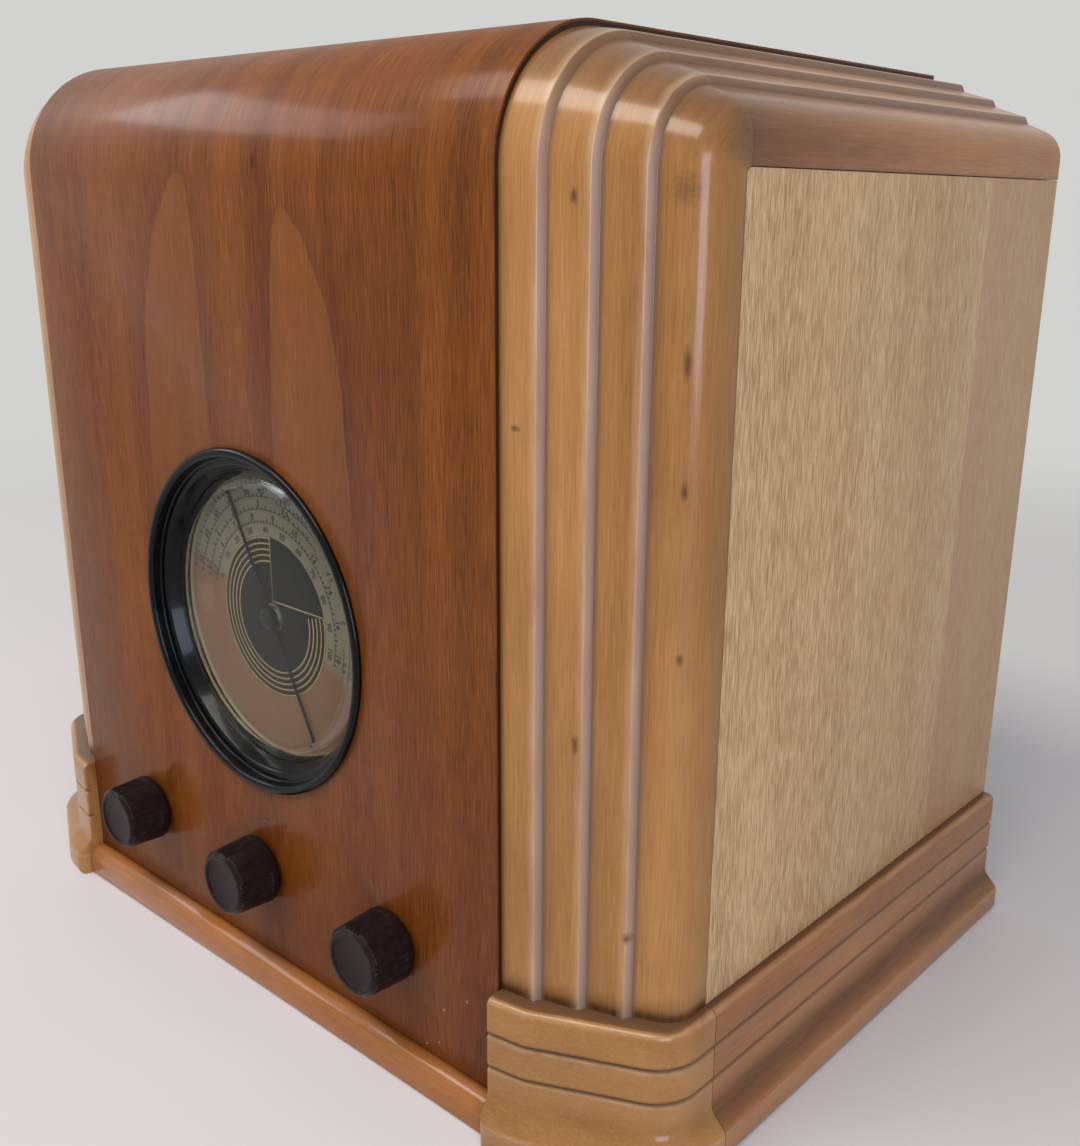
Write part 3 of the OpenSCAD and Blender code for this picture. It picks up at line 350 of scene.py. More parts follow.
# Crackle paint: black broken into small dull grains that scatter the light
wrinkle = moulded("black_crackle", "#121211", "#3a3835", rough=0.55, scratch=0.4, scale=700)
# Old rubber: flat black with a grey bloom
rubber = moulded("black_rubber", "#15130f", "#3a3631", rough=0.75, scratch=0.3)
# Nickel blacked with carbon: sooty, a dark core inside the bright bulb
anode_coat = moulded("carbonised_nickel", "#1b1b1b", "#3d3c3a", rough=0.7, scratch=0.4)
# Pressed paper pulp: fibrous and without any shine
cone_paper = moulded("pressed_paper", "#39312a", "#564a3c", rough=0.9, scratch=0.6)


def metal(name, dark, light, rough, along=(1, 1, 1), tarnish=None):
    """Bare or plated metal with drawn lines and, on old plating, dull bloom."""
    m, t = blank(name)
    place = add(t, "TexCoord").outputs["Object"]
    # lines about 1 mm apart and bloom in patches of 20 mm
    here = add(t, "Mapping", {"Vector": place, "Scale": along})
    lines = add(t, "TexNoise", {"Vector": here, "Scale": 900, "Detail": 4, "Roughness": 0.6})
    bloom = add(t, "TexNoise", {"Vector": place, "Scale": 48, "Detail": 5, "Roughness": 0.65})
    colour = add(t, "Mix", {0: lines, 6: dark, 7: light})
    if tarnish:
        share = add(t, "ValToRGB", {"Fac": bloom}, [(0.48, 0.0), (0.7, 0.8)])
        colour = add(t, "Mix", {0: share, 6: colour, 7: tarnish})
    gloss = add(t, "MapRange", {"Value": bloom, "To Min": rough - 0.1, "To Max": rough + 0.15})
    surface(t, {"Base Color": colour, "Roughness": gloss, "Metallic": 1.0}, lines, strength=0.06, distance=0.0002)
    return m


# Cadmium plate: satin grey-white, gone dull and yellowish in patches
plated = metal("cadmium_plated_steel", "#8d8c82", "#b8b6aa", rough=0.42, tarnish="#6f675a")
# Drawn rod: brighter, with lines along its length
shaft_steel = metal("drawn_steel", "#8c8c88", "#bfbfba", rough=0.28, along=(1, 0.1, 1))
# Aluminium can: bright, with faint lines up its wall
spun_can = metal("spun_aluminium", "#a7a9a6", "#cfd0cc", rough=0.33, along=(1, 1, 0.06))
# Stamped aluminium: pale, even and satin
aluminium = metal("stamped_aluminium", "#a3a5a3", "#cbccc9", rough=0.38)
# Old brass: warm yellow under brown tarnish
brass = metal("aged_brass", "#8d6d32", "#b9954f", rough=0.35, tarnish="#6a5330")


def clear_glass(name, tint, rough, bend):
    """Clear blown or pressed glass, with the faint unevenness of old glass in its reflections."""
    m, t = blank(name)
    place = add(t, "TexCoord").outputs["Object"]
    # ripples about 36 mm apart
    ripple = add(t, "TexNoise", {"Vector": place, "Scale": 28, "Detail": 2})
    surface(t, {"Base Color": tint, "Roughness": rough, "Transmission Weight": 1.0, "IOR": bend}, ripple,
            strength=0.03, distance=0.0006)
    return m


# The window: almost colourless, with weak reflections, so that the print shows through
dial_glass = clear_glass("dial_glass", "#f1f3ee", rough=0.02, bend=1.2)
# The rolled edge of the same glass, thicker and so brighter in its reflections
rolled_glass = clear_glass("rolled_edge_glass", "#eef0ea", rough=0.04, bend=1.5)
# Thin blown glass: faintly green, with small sharp highlights
bulb_glass = clear_glass("bulb_glass", "#e4e8e4", rough=0.03, bend=1.48)


def printed_dial():
    """Lithographed dial sheet: grey-green above, tan below, with the lower ink rubbed redder in patches."""
    m, t = blank("lithographed_dial")
    place = add(t, "Mapping", {"Vector": add(t, "TexCoord").outputs["Object"], "Location": (0, 0, -DIAL_Z * MM)})
    part = add(t, "SeparateXYZ", {"Vector": place})
    # rubbed patches about 22 mm across and grit of 1 mm
    mottle = add(t, "TexNoise", {"Vector": place, "Scale": 45, "Detail": 5, "Roughness": 0.62})
    grit = add(t, "TexNoise", {"Vector": place, "Scale": 900, "Detail": 3})
    height = add(t, "Math ADD", (part.outputs[2], add(t, "Math MULTIPLY", (part.outputs[0], 0.35))))
    half = add(t, "MapRange", {"Value": height, "From Min": -0.003, "From Max": 0.003})
    upper = add(t, "Mix", {0: mottle, 6: "#4e4a38", 7: "#726c56"})
    rubbed = add(t, "ValToRGB", {"Fac": mottle}, [(0.44, 0.0), (0.62, 0.8)])
    lower = add(t, "Mix", {0: rubbed, 6: "#5d3c1d", 7: "#643016"})
    sheet = add(t, "Mix", {0: half, 6: lower, 7: upper})
    sheet = add(t, "Mix", {0: add(t, "ValToRGB", {"Fac": grit}, [(0.4, 0.0), (0.9, 0.5)]), 6: sheet, 7: "#574833"})
    # the rim is pale where the print stops
    square = add(t, "Math MULTIPLY", (part.outputs[0], part.outputs[0]))
    radius = add(t, "Math SQRT", (add(t, "Math MULTIPLY_ADD", (part.outputs[2], part.outputs[2], square)),))
    rim = add(t, "MapRange", {"Value": radius, "From Min": 0.052, "From Max": 0.0545})
    sheet = add(t, "Mix", {0: rim, 6: sheet, 7: "#8d8363"})
    surface(t, {"Base Color": sheet, "Roughness": 0.55}, grit, strength=0.05, distance=0.0001)
    return m


dial_sheet = printed_dial()
# Bronze-powder ink: dull gold that still catches some light
gold_ink = moulded("gold_ink", "#7d6d45", "#a3925f", rough=0.45, scratch=0.3, shine=0.2)
# Solid black ink: matt, so that the centre is one dark disc
black_ink = moulded("black_ink", "#121110", "#1e1d1a", rough=0.6, scratch=0.2, shine=0.1)
# Slate ink: grey-blue figures and lines, worn thin
blue_ink = moulded("slate_ink", "#262b2b", "#3d4443", rough=0.6, scratch=0.3, shine=0.15)
# Red-brown ink, rubbed through to the sheet
rust_ink = moulded("rust_ink", "#6d4a38", "#7c604c", rough=0.6, scratch=0.5, shine=0.15)


def woven(name, dark, light, pitch):
    """Plain-woven grille cloth: two thread directions about a millimetre apart, read from the cloth's own map."""
    m, t = blank(name)
    place = add(t, "UVMap", uv_map="weave")
    warp, weft = (add(t, "TexWave", {"Vector": place, "Scale": 1 / pitch / 2, "Distortion": 1.2, "Detail": 2},
                      bands_direction=way).outputs["Fac"] for way in "XY")
    over = add(t, "Math MULTIPLY", (warp, weft))
    thread = add(t, "TexNoise", {"Vector": place, "Scale": 300, "Detail": 4})
    colour = add(t, "Mix", {0: add(t, "Math MULTIPLY", (over, thread)), 6: dark, 7: light})
    surface(t, {"Base Color": colour, "Roughness": 0.85, "Sheen Weight": 0.3, "Sheen Roughness": 0.5}, over,
            strength=0.5, distance=0.0004)
    return m


grille_weave = woven("woven_grille_cloth", "#39250f", "#b58b52", pitch=0.0012)


def braided(name):
    """Waxed linen drive cord: the lay of its strands shows as slanted lines."""
    m, t = blank(name)
    place = add(t, "TexCoord").outputs["Object"]
    slant = add(t, "Mapping", {"Vector": place, "Rotation": (0, radians(35), 0)})
    lay = add(t, "TexWave", {"Vector": slant, "Scale": 420, "Distortion": 0.6}, bands_direction="Z").outputs["Fac"]
    colour = add(t, "Mix", {0: lay, 6: "#8f7d50", 7: "#cbbb8b"})
    surface(t, {"Base Color": colour, "Roughness": 0.7}, lay, strength=0.4, distance=0.0003)
    return m


linen = braided("waxed_linen_cord")

# Ways of modelling


def only(piece):
    """Makes a piece the one that the next tool works on."""
    bpy.ops.object.select_all(action="DESELECT")
    piece.select_set(True)
    bpy.context.view_layer.objects.active = piece


def added(tool, **settings):
    """A new object from one of the adding tools."""
    bpy.ops.object.select_all(action="DESELECT")
    tool(**settings)
    return bpy.context.object


def editing(piece, work):
    """Runs one piece of edit-mode work with everything selected."""
    only(piece)
    bpy.ops.object.mode_set(mode="EDIT")
    bpy.ops.mesh.select_all(action="SELECT")
    work()
    bpy.ops.object.mode_set(mode="OBJECT")
    return piece


def outward():
    """Joins points that coincide and turns the faces outwards."""
    bpy.ops.mesh.select_all(action="SELECT")
    bpy.ops.mesh.remove_doubles(threshold=2e-6)
    bpy.ops.mesh.normals_make_consistent(inside=False)


def section(name, points, fill="NGON"):
    """A flat outline through points, ready to be extruded or spun."""
    piece = added(bpy.ops.mesh.primitive_circle_add, vertices=len(points), fill_type=fill)
    piece.name = name
    for corner, point in zip(piece.data.vertices, points):
        corner.co = point
    return piece


def extruded(piece, reach):
    """Carries an outline along a way in metres."""
    def work():
        bpy.ops.mesh.extrude_region_move(TRANSFORM_OT_translate={"value": reach})
        outward()
    return editing(piece, work)


def turned(name, points):
    """An outline of (radius, y) turned about the axis of the dial."""
    piece = section(name, [at(r, y, DIAL_Z) for r, y in points], "NOTHING")

    def work():
        bpy.ops.mesh.spin(steps=128, angle=2 * pi, center=at(0, 0, DIAL_Z), axis=(0, 1, 0))
        outward()
        bpy.ops.mesh.delete_loose()
    return editing(piece, work)


def meshed(name, points, faces):
    """A new piece from points and faces."""
    mesh = bpy.data.meshes.new(name)
    mesh.from_pydata(points, [], faces)
    piece = bpy.data.objects.new(name, mesh)
    bpy.context.scene.collection.objects.link(piece)
    return piece


def swept(name, rows):
    """A closed solid through rows of points, each row one section."""
    n = len(rows[0])
    faces = [(i * n + j, i * n + (j + 1) % n, (i + 1) * n + (j + 1) % n, (i + 1) * n + j)
             for i in range(len(rows) - 1) for j in range(n)]
    faces += [tuple(range(n))[::-1], tuple((len(rows) - 1) * n + j for j in range(n))]
    return editing(meshed(name, [p for row in rows for p in row], faces), outward)


def with_modifier(piece, kind, **settings):
    """Adds a modifier and applies it."""
    only(piece)
    change = piece.modifiers.new(kind.title(), kind)
    for key, value in settings.items():
        setattr(change, key, value)
    bpy.ops.object.modifier_apply(modifier=change.name)


def eased(piece, width, angle):
    """Takes the sharpness off a piece's edges and shades its rounds smooth."""
    if width:
        with_modifier(piece, "BEVEL", width=width, segments=2, limit_method="ANGLE", angle_limit=radians(angle),
                      use_clamp_overlap=True, material=1 if len(piece.data.materials) > 1 else -1)
    only(piece)
    bpy.ops.object.shade_smooth_by_angle(angle=radians(angle))


def placed(piece, body, material, slot, *nodes):
    """Gives a piece its material, its body and the nodes that it stands for; the slot is not used."""
    piece.data.materials.clear()
    piece.data.materials.append(material)
    for face in piece.data.polygons:
        face.material_index = 0
    if nodes:
        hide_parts(*nodes)
    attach(piece, body)


SLOTS = {part["node"]: part["material_slot"] for part in frame["record"]["subparts"]}


def refined(node, material, body="cabinet", width=0.0003, angle=40):
    """A node's own shape with its flat faces joined, its edges eased and its rounds smooth."""
    source = frame["nodes"][node]
    piece = source.copy()
    piece.data = source.data.copy()
    piece.name = node + "_finished"
    for key in list(piece.keys()):
        del piece[key]
    piece.parent = None
    bpy.context.scene.collection.objects.link(piece)
    if piece.data.has_custom_normals:
        only(piece)
        bpy.ops.mesh.customdata_custom_splitnormals_clear()

    def work():
        bpy.ops.mesh.remove_doubles(threshold=1e-6)
        bpy.ops.mesh.dissolve_limited(angle_limit=radians(0.3))
    editing(piece, work)
    piece.data.materials.clear()
    for _ in range(2):
        piece.data.materials.append(material)
    eased(piece, width, angle)
    worn = piece.data.attributes.new("edge_wear", "FLOAT", "FACE")
    for face, share in zip(piece.data.polygons, worn.data):
        share.value = face.material_index
    placed(piece, body, material, SLOTS[node], node)


def mirrored(piece):
    """The left-hand copy of a right-hand piece."""
    twin = piece.copy()
    twin.data = piece.data.copy()
    twin.name = piece.name + "_left"
    bpy.context.scene.collection.objects.link(twin)
    twin.data.transform(Matrix.Scale(-1, 4, (1, 0, 0)))
    twin.data.flip_normals()
    return twin


def rounded(corners, steps):
    """Points of an outline whose corners (x, y, radius) are rounded."""
    points = []
    n = len(corners)
    for i, (x, y, r) in enumerate(corners):
        b = Vector((x, y))
        if not r:
            points.append(b)
            continue
        u = (Vector(corners[i - 1][:2]) - b).normalized()
        v = (Vector(corners[(i + 1) % n][:2]) - b).normalized()
        half = acos(max(-1, min(1, u.dot(v)))) / 2
        centre = b + (u + v).normalized() * r / sin(half)
        first = b + u * r / tan(half) - centre
        start = atan2(first.y, first.x)
        sweep = (1 if u.x * v.y - u.y * v.x < 0 else -1) * (pi - 2 * half)
        turns = [start + sweep * k / steps for k in range(steps + 1)]
        points += [centre + r * Vector((cos(turn), sin(turn))) for turn in turns]
    return points


def lay_grain(piece, along, wear_and_painted_light=None):
    """Stores where each point lies in the wood, and its shares of dust, of rubbing with painted highlight and of stain
    with painted shade.
    """
    piece.data.attributes.new("grain", "FLOAT_VECTOR", "POINT")
    piece.data.attributes.new("wear_and_painted_light", "FLOAT_COLOR", "CORNER")
    grain, marks = piece.data.attributes["grain"], piece.data.attributes["wear_and_painted_light"]
    shares = []
    for v, g in zip(piece.data.vertices, grain.data):
        x, y, z = v.co.x * 1000, v.co.y * 1000 + FACE_Y, v.co.z * 1000
        g.vector = Vector(along(x, y, z)) * MM
        shares.append(wear_and_painted_light(x, y, z) if wear_and_painted_light else (0, 0, 0))
    # cut ends, the faces with many corners, are stained evenly
    for face in piece.data.polygons:
        for i in face.loop_indices:
            share = (0, 0, 0.2) if len(face.vertices) > 8 else shares[piece.data.loops[i].vertex_index]
            marks.data[i].color = (*share, 1)


def pair(piece, ending, material, slot, along, wear_and_painted_light=None):
    """Finishes a right-hand piece of the cabinet and its left-hand twin."""
    for hand, side in ((piece, "right"), (mirrored(piece), "left")):
        lay_grain(hand, along, wear_and_painted_light)
        placed(hand, "cabinet", material, slot, side + ending)


def round_bend(y, z):
    """Depth behind the face and length along it for a point of the bent front."""
    if z <= BEND_Z and y < BEND_R:
        return y, z
    if y >= BEND_R:
        return CAB_H - z, BEND_Z + BEND_R * pi / 2 + y - BEND_R
    turn = atan2(z - BEND_Z, BEND_R - y)
    return BEND_R - hypot(z - BEND_Z, BEND_R - y), BEND_Z + BEND_R * turn


# Cabinet


def front_panel():
    """One sheet bent over the top, with the holes for the dial and the three shafts."""
    turns = [pi / 2 * i / 40 for i in range(41)]

    def arc(r):
        return [(BEND_R - r * cos(a), BEND_Z + r * sin(a)) for a in turns]

    side = [(0, 0)] + arc(BEND_R) + [(CAB_D, CAB_H), (CAB_D, CAB_H - PANEL_T)]
    side += arc(BEND_R - PANEL_T)[::-1] + [(PANEL_T, 0)]
    panel = extruded(section("bent_front", [at(-HALF_W, y, z) for y, z in side]), (2 * HALF_W * MM, 0, 0))
    # a row of points round the cut edges, where their black and the painted shade of the seams begin
    only(panel)
    bpy.ops.object.mode_set(mode="EDIT")
    bpy.ops.mesh.select_mode(type="FACE")
    bpy.ops.mesh.select_all(action="DESELECT")
    bpy.ops.object.mode_set(mode="OBJECT")
    for face in panel.data.polygons:
        face.select = abs(face.normal.x) > 0.9
    bpy.ops.object.mode_set(mode="EDIT")
    bpy.ops.mesh.inset(thickness=0.0008)
    bpy.ops.mesh.select_mode(type="VERT")
    bpy.ops.object.mode_set(mode="OBJECT")
    holes = [(0, DIAL_Z, DIAL_HOLE_R)] + [(x, KNOB_Z, SHAFT_HOLE_R) for x in (-KNOB_X, 0, KNOB_X)]
    for x, z, r in holes:
        drill = added(bpy.ops.mesh.primitive_cylinder_add, vertices=96, radius=r * MM, depth=5 * PANEL_T * MM,
                      location=at(x, PANEL_T / 2, z), rotation=(pi / 2, 0, 0))
        with_modifier(panel, "BOOLEAN", object=drill, operation="DIFFERENCE", solver="EXACT")
        bpy.data.objects.remove(drill)
    eased(panel, 0.0005, 50)

    def along(x, y, z):
        d, s = round_bend(y, z)
        return x, s, d

    lay_grain(panel, along)
    placed(panel, "cabinet", walnut, "walnut", "front_panel")


# The bands of the corner: their tilts in degrees, and the widths of a band, a riser and the step beside the panel
BAND_TILTS, LAST_TILT = (8.5, 16, 17), 22
BAND_RUN, RISER_RUN, RISER, SEAM_STEP = 12, 1.4, 2.7, 2
POST_W = SIDE_X - HALF_W


def stepped_profile():
    """Corner outline as distances across and behind the face, and the edge and foot of each riser."""
    corners, risers = [(0, SEAM_STEP, 0)], []
    s, d = 0, SEAM_STEP
    for tilt in BAND_TILTS:
        fall = tan(radians(tilt))
        corners += [(s + step, d + step * fall, 0) for step in (0.5, 1.3, 4, BAND_RUN - 2.6)]
        edge = s + BAND_RUN, d + BAND_RUN * fall
        s, d = s + BAND_RUN + RISER_RUN, edge[1] + RISER
        corners += [(*edge, 1), (s, d, 0.5)]
        risers.append((Vector(edge), Vector((s, d))))
    fall = tan(radians(LAST_TILT))
    corners += [(s + step, d + step * fall, 0) for step in (0.5, 1.3, 4)]
    corners += [(POST_W, d + (POST_W - s) * fall, 11), (POST_W, CORNER_D - 1, 0), (POST_W, CORNER_D, 0)]
    # the inner side, with a tongue that lies behind the panel
    corners += [(42, CORNER_D, 0), (4, 18, 0), (-12, 18, 0), (-12, PANEL_T, 0), (0, PANEL_T, 0)]
    return rounded(corners, 6), risers


PROFILE, RISERS = stepped_profile()


def level(place, *stops):
    """A level read off a line through stops of (place, level)."""
    if place <= stops[0][0]:
        return stops[0][1]
    for (a, low), (b, high) in zip(stops, stops[1:]):
        if place <= b:
            return low + (high - low) * (place - a) / (b - a)
    return stops[-1][1]


def profile_wear_and_painted_light(x, y, z):
    """Dust on the risers and rubbing with a painted highlight on their edges, darker feet, painted shade at the seams
    and over the shoulder, grime with painted shade where the fourth band turns, and at the foot.
    """
    d = round_bend(y, z)[0]
    p = Vector((abs(x) - HALF_W, d))
    dust = rub = 0
    # painted shade of the gap at the seam with the panel, on the step beside it
    stain_and_shade = level(p.x, (0, 0.8), (0.5, 0.5), (1.3, 0.2), (4, 0)) if d < PANEL_T else 0
    for edge, foot in RISERS:
        run = foot - edge
        t = (p - edge).dot(run) / run.length_squared
        # on each riser: rubbing and a painted highlight on its rounded edge, dust on its face, darker at its foot
        if -0.2 < t < 1.2 and abs((p - edge).cross(run)) / run.length < 1.2:
            rub = max(rub, level(t, (-0.2, 0.1), (0, 0.6), (0.1, 0.45), (0.2, 0)))
            dust = max(dust, level(t, (0.02, 0), (0.12, 0.9), (0.85, 0.95), (1, 0.2)))
            stain_and_shade = max(stain_and_shade, level(t, (0.75, 0), (0.95, 0.9), (1.2, 0.6)))
        # darker just past each riser's foot
        if 0 <= p.x - foot.x < 5 and abs(d - foot.y) < 3:
            stain_and_shade = max(stain_and_shade, level(p.x - foot.x, (0, 0.7), (0.5, 0.4), (1.3, 0.18), (4, 0.04), (5, 0)))
    # painted shade along the joint with the side board
    if p.x > POST_W - 1:
        stain_and_shade = max(stain_and_shade, level(d, (CORNER_D - 1.2, 0.05), (CORNER_D, 0.6)))
    turn = 90 if y >= BEND_R else max(0, atan2(z - BEND_Z, BEND_R - y) * 180 / pi)
    behind = level(y, (BEND_R, 1), (60, 0.7), (90, 0.4), (140, 0.15))
    # painted shade: the shoulder darker above its highlight and the rails' tops darker, fading backwards; risers on
    # the bend darker still and less dusty
    stain_and_shade = max(stain_and_shade, level(turn, (26, 0), (42, 0.5), (75, 0.72)) * behind, dust * level(turn, (15, 0), (45, 0.95)))
    dust *= level(turn, (12, 1), (50, 0.1))
    # grime and painted shade where the fourth band turns over
    if p.x > POST_W - 10:
        stain_and_shade = max(stain_and_shade, level(turn, (10, 0), (32, 0.38), (60, 0.62), (90, 0.4)) * behind)
    # grime and painted shade at the foot, where the post stands on the base
    return dust, rub, max(stain_and_shade, level(z, (BASE_H, 1), (54.5, 1), (57, 0.4), (62, 0)))


def profile_grain(x, y, z):
    """The grain follows the corner over the shoulder, and the left-hand piece comes from another board."""
    d, s = round_bend(y, z)
    return abs(x) + (350 if x < 0 else 0), s, d


def cut_across(piece, axis, places):
    """Cuts rows of points across a piece, where its wear and painted shade change."""
    def work():
        for place in places:
            bpy.ops.mesh.select_all(action="SELECT")
            bpy.ops.mesh.bisect(plane_co=place, plane_no=axis)
    editing(piece, work)


def corner_posts():
    """The stepped outline carried up the corner and turned over the shoulder."""
    post = section("stepped_post", [at(HALF_W + p.x, p.y, BASE_H) for p in PROFILE])
    extruded(post, (0, 0, (BEND_Z - BASE_H) * MM))
    top = max(v.co.z for v in post.data.vertices)
    only(post)
    for v in post.data.vertices:
        v.select = abs(v.co.z - top) < 1e-6
    for part in (*post.data.edges, *post.data.polygons):
        part.select = all(post.data.vertices[i].select for i in part.vertices)
    bpy.ops.object.mode_set(mode="EDIT")
    bpy.ops.mesh.spin(steps=36, angle=pi / 2, center=at(0, BEND_R, BEND_Z), axis=(1, 0, 0))
    outward()
    bpy.ops.object.mode_set(mode="OBJECT")
    cut_across(post, (0, 0, 1), [at(0, 0, z) for z in (54.5, 57, 62)])
    eased(post, 0, 50)
    pair(post, "_corner_post", maple, "maple", profile_grain, profile_wear_and_painted_light)


def top_rails():
    """The same outline carried to the back."""
    rail = section("stepped_rail", [at(HALF_W + p.x, BEND_R + SEAM, CAB_H - p.y) for p in PROFILE])
    extruded(rail, (0, (CAB_D - BEND_R - SEAM) * MM, 0))
    cut_across(rail, (0, 1, 0), [at(0, y, 0) for y in (60, 90, 140)])
    eased(rail, 0, 50)
    pair(rail, "_top_rail", stained_maple, "stained_maple", profile_grain, profile_wear_and_painted_light)


def side_panels():
    """Flat boards between post, rail and base."""
    thick, front, top = 12, CORNER_D + 0.2, CAB_H - CORNER_D - 0.2
    board = [(front, BASE_H), (CAB_D, BASE_H), (CAB_D, top)]
    board += [(p.x, p.y) for p in rounded([(CAB_D, top, 0), (front, top, 2), (front, BASE_H, 0)], 6)[1:-1]]
    panel = section("side_board", [at(SIDE_X - thick, y, z) for y, z in board])
    extruded(panel, (thick * MM, 0, 0))
    eased(panel, 0.0004, 50)
    pair(panel, "_side_panel", side_veneer, "side_veneer", lambda x, y, z: (y, z + (700 if x < 0 else 0), x))


# The base: how far its shoe stands out, how deep its blocks go in and its two grooves' heights
SHOE, BLOCK_T, GROOVES = 6, 14, (28, 40.5)
# Section of the base as (outwards, height): shoe, cove, two grooves and a rounded top
BASE_BANDS = [(-BLOCK_T, 0, 0), (SHOE, 0, 2), (SHOE, 10, 4), (0, 16, 5)]
for groove in GROOVES:
    BASE_BANDS += [(0, groove - 2.8, 0), (0, groove - 1.6, 0), (-1.6, groove, 0.3), (0, groove, 0.5),
                   (0, groove + 1.2, 0)]
BASE_BANDS += [(0, BASE_H, 2.5), (-3.2, BASE_H, 0), (-5, BASE_H, 0), (-BLOCK_T, BASE_H, 0)]
BASE_BANDS = [(p.x, p.y) for p in rounded(BASE_BANDS, 6)]

# The front of the base: a shallow facet beside the rail, and from an edge on a slant that runs into the round
FACET, SLANT = radians(10.5), radians(26)
FACET_Y, EDGE_X, BASE_R = -5.5, 141, 18
EDGE = Vector((EDGE_X, FACET_Y + (EDGE_X - HALF_W) * tan(FACET)))


def base_wear_and_painted_light(x, y, z):
    """Painted shade in the grooves, grime with painted shade on the ledge, a darker cove, and rubbing with a painted
    highlight on the edges that stick out.
    """
    x = abs(x)
    front = EDGE.y + (x - EDGE.x) * tan(SLANT if x > EDGE.x else FACET)
    inset = min(y - front, BASE_X - x)
    ledge_grime_and_shade = level(inset, (1.4, 0), (2.2, 0.4), (2.6, 0.9), (5, 1)) if z > BASE_H - 0.6 else 0
    groove = max(level(z - g, (-2.4, 0), (-1.6, 0.35), (-0.4, 1), (0.2, 1), (0.6, 0.5), (1.2, 0)) for g in GROOVES)
    lip_rub_and_highlight = max(level(abs(z - e), (0, 0.6), (1.2, 0)) for e in (26.2, 38.7, 52.2, 9))
    cove = level(abs(z - 15), (0, 0.85), (2.5, 0.7), (6, 0.1)) * (1 if y > CORNER_D else 0.45)
    # green: rubbing and painted highlight on the lips; blue: painted shade, grime, the darker cove and a little stain
    # all over
    return 0, lip_rub_and_highlight * 0.6, max(0.14, ledge_grime_and_shade, groove, cove)


def round_off(t, r):
    """How far a rounded end of radius r has drawn back at t from its tip."""
    return r - sqrt(r * r - (r - t) ** 2) if t < r else 0


def base_blocks():
    """Grooved blocks that turn the base round the corners, with the shoe's inner end rounded off."""
    shoe_end, whole = 5, 9
    nf, ns = Vector((sin(FACET), -cos(FACET))), Vector((sin(SLANT), -cos(SLANT)))
    cx = BASE_X - BASE_R
    centre = Vector((cx, EDGE.y + (BASE_R + (cx - EDGE.x) * sin(SLANT)) / cos(SLANT)))
    inner = EDGE - BLOCK_T * (nf + ns).normalized()
    # each station: a place on the base's line, the way outwards and the distance from the inner end
    stations = [(Vector((HALF_W + t, FACET_Y + t * tan(FACET))), Vector((0, -1 / cos(FACET))), t)
                for t in (0, 0.25, 0.8, 1.8, 3.2, shoe_end)]
    stations.append((EDGE - 0.8 * Vector((cos(FACET), sin(FACET))), nf, whole))
    stations.append((EDGE + 0.8 * Vector((cos(SLANT), sin(SLANT))), ns, whole))
    for i in range(25):
        turn = (SLANT - pi / 2) * (1 - i / 24)
        n = Vector((cos(turn), sin(turn)))
        stations.append((centre + BASE_R * n, n, whole))
    stations.append((Vector((BASE_X, CORNER_D - SEAM)), Vector((1, 0)), whole))
    rows = []
    for p, n, t in stations:
        row = []
        for o, z in BASE_BANDS:
            out = min(o, SHOE - round_off(t, shoe_end)) - round_off(t, 1)
            q = inner if o < 1 - BLOCK_T and (p - EDGE).length < 1 else p + n * out
            row.append(at(q.x, q.y, z))
        rows.append(row)
    block = swept("base_block", rows)
    eased(block, 0, 32)
    pair(block, "_base_corner", maple, "maple",
         lambda x, y, z: (z + (300 if x < 0 else 0), abs(x) * 0.8 + y * 0.6, y), base_wear_and_painted_light)


def base_sides():
    """The same section carried along the sides."""
    length = section("base_moulding", [at(BASE_X + max(o, -BLOCK_T), CORNER_D + SEAM, z) for o, z in BASE_BANDS])
    extruded(length, (0, (CAB_D - CORNER_D - SEAM) * MM, 0))
    eased(length, 0, 32)
    pair(length, "_base_side", stained_maple, "stained_maple",
         lambda x, y, z: (z + (500 if x < 0 else 150), y, abs(x)), base_wear_and_painted_light)


def front_rail():
    """A rounded strip along the foot of the panel, a tenth of a millimetre clear of the blocks."""
    half, high, out = HALF_W - 0.1, 13, 7
    side = rounded([(0, 0, 0), (0, high, 0), (-out, high, 6), (-out, 0, 2)], 10)
    rail = section("foot_rail", [at(-half, p.x, p.y) for p in side])
    extruded(rail, (2 * half * MM, 0, 0))
    eased(rail, 0.0003, 50)
    lay_grain(rail, lambda x, y, z: (z + 40, x, y), lambda x, y, z: (0, 0.1, level(y, (-2, 0), (0, 0.8))))
    placed(rail, "cabinet", amber_maple, "stained_maple", "front_rail")


front_panel()
corner_posts()
top_rails()
side_panels()
base_blocks()
base_sides()
front_rail()
for node in ("bottom_board", "baffle_cleats", "speaker_baffle"):
    refined(node, plywood, width=0.0004)

# Dial


# Front of the glass as (radius, y): almost flat, and rolled over at the rim
GLASS = [(0, 3.2), (8, 3.22), (16, 3.3), (24, 3.45), (31, 3.65), (37, 3.9), (42, 4.25), (46, 4.7), (49, 5.25),
         (51.2, 5.9), (52.8, 6.6), (53.9, 7.3), (54.7, 8.1), (55.1, 8.8), (55.2, 9.2)]


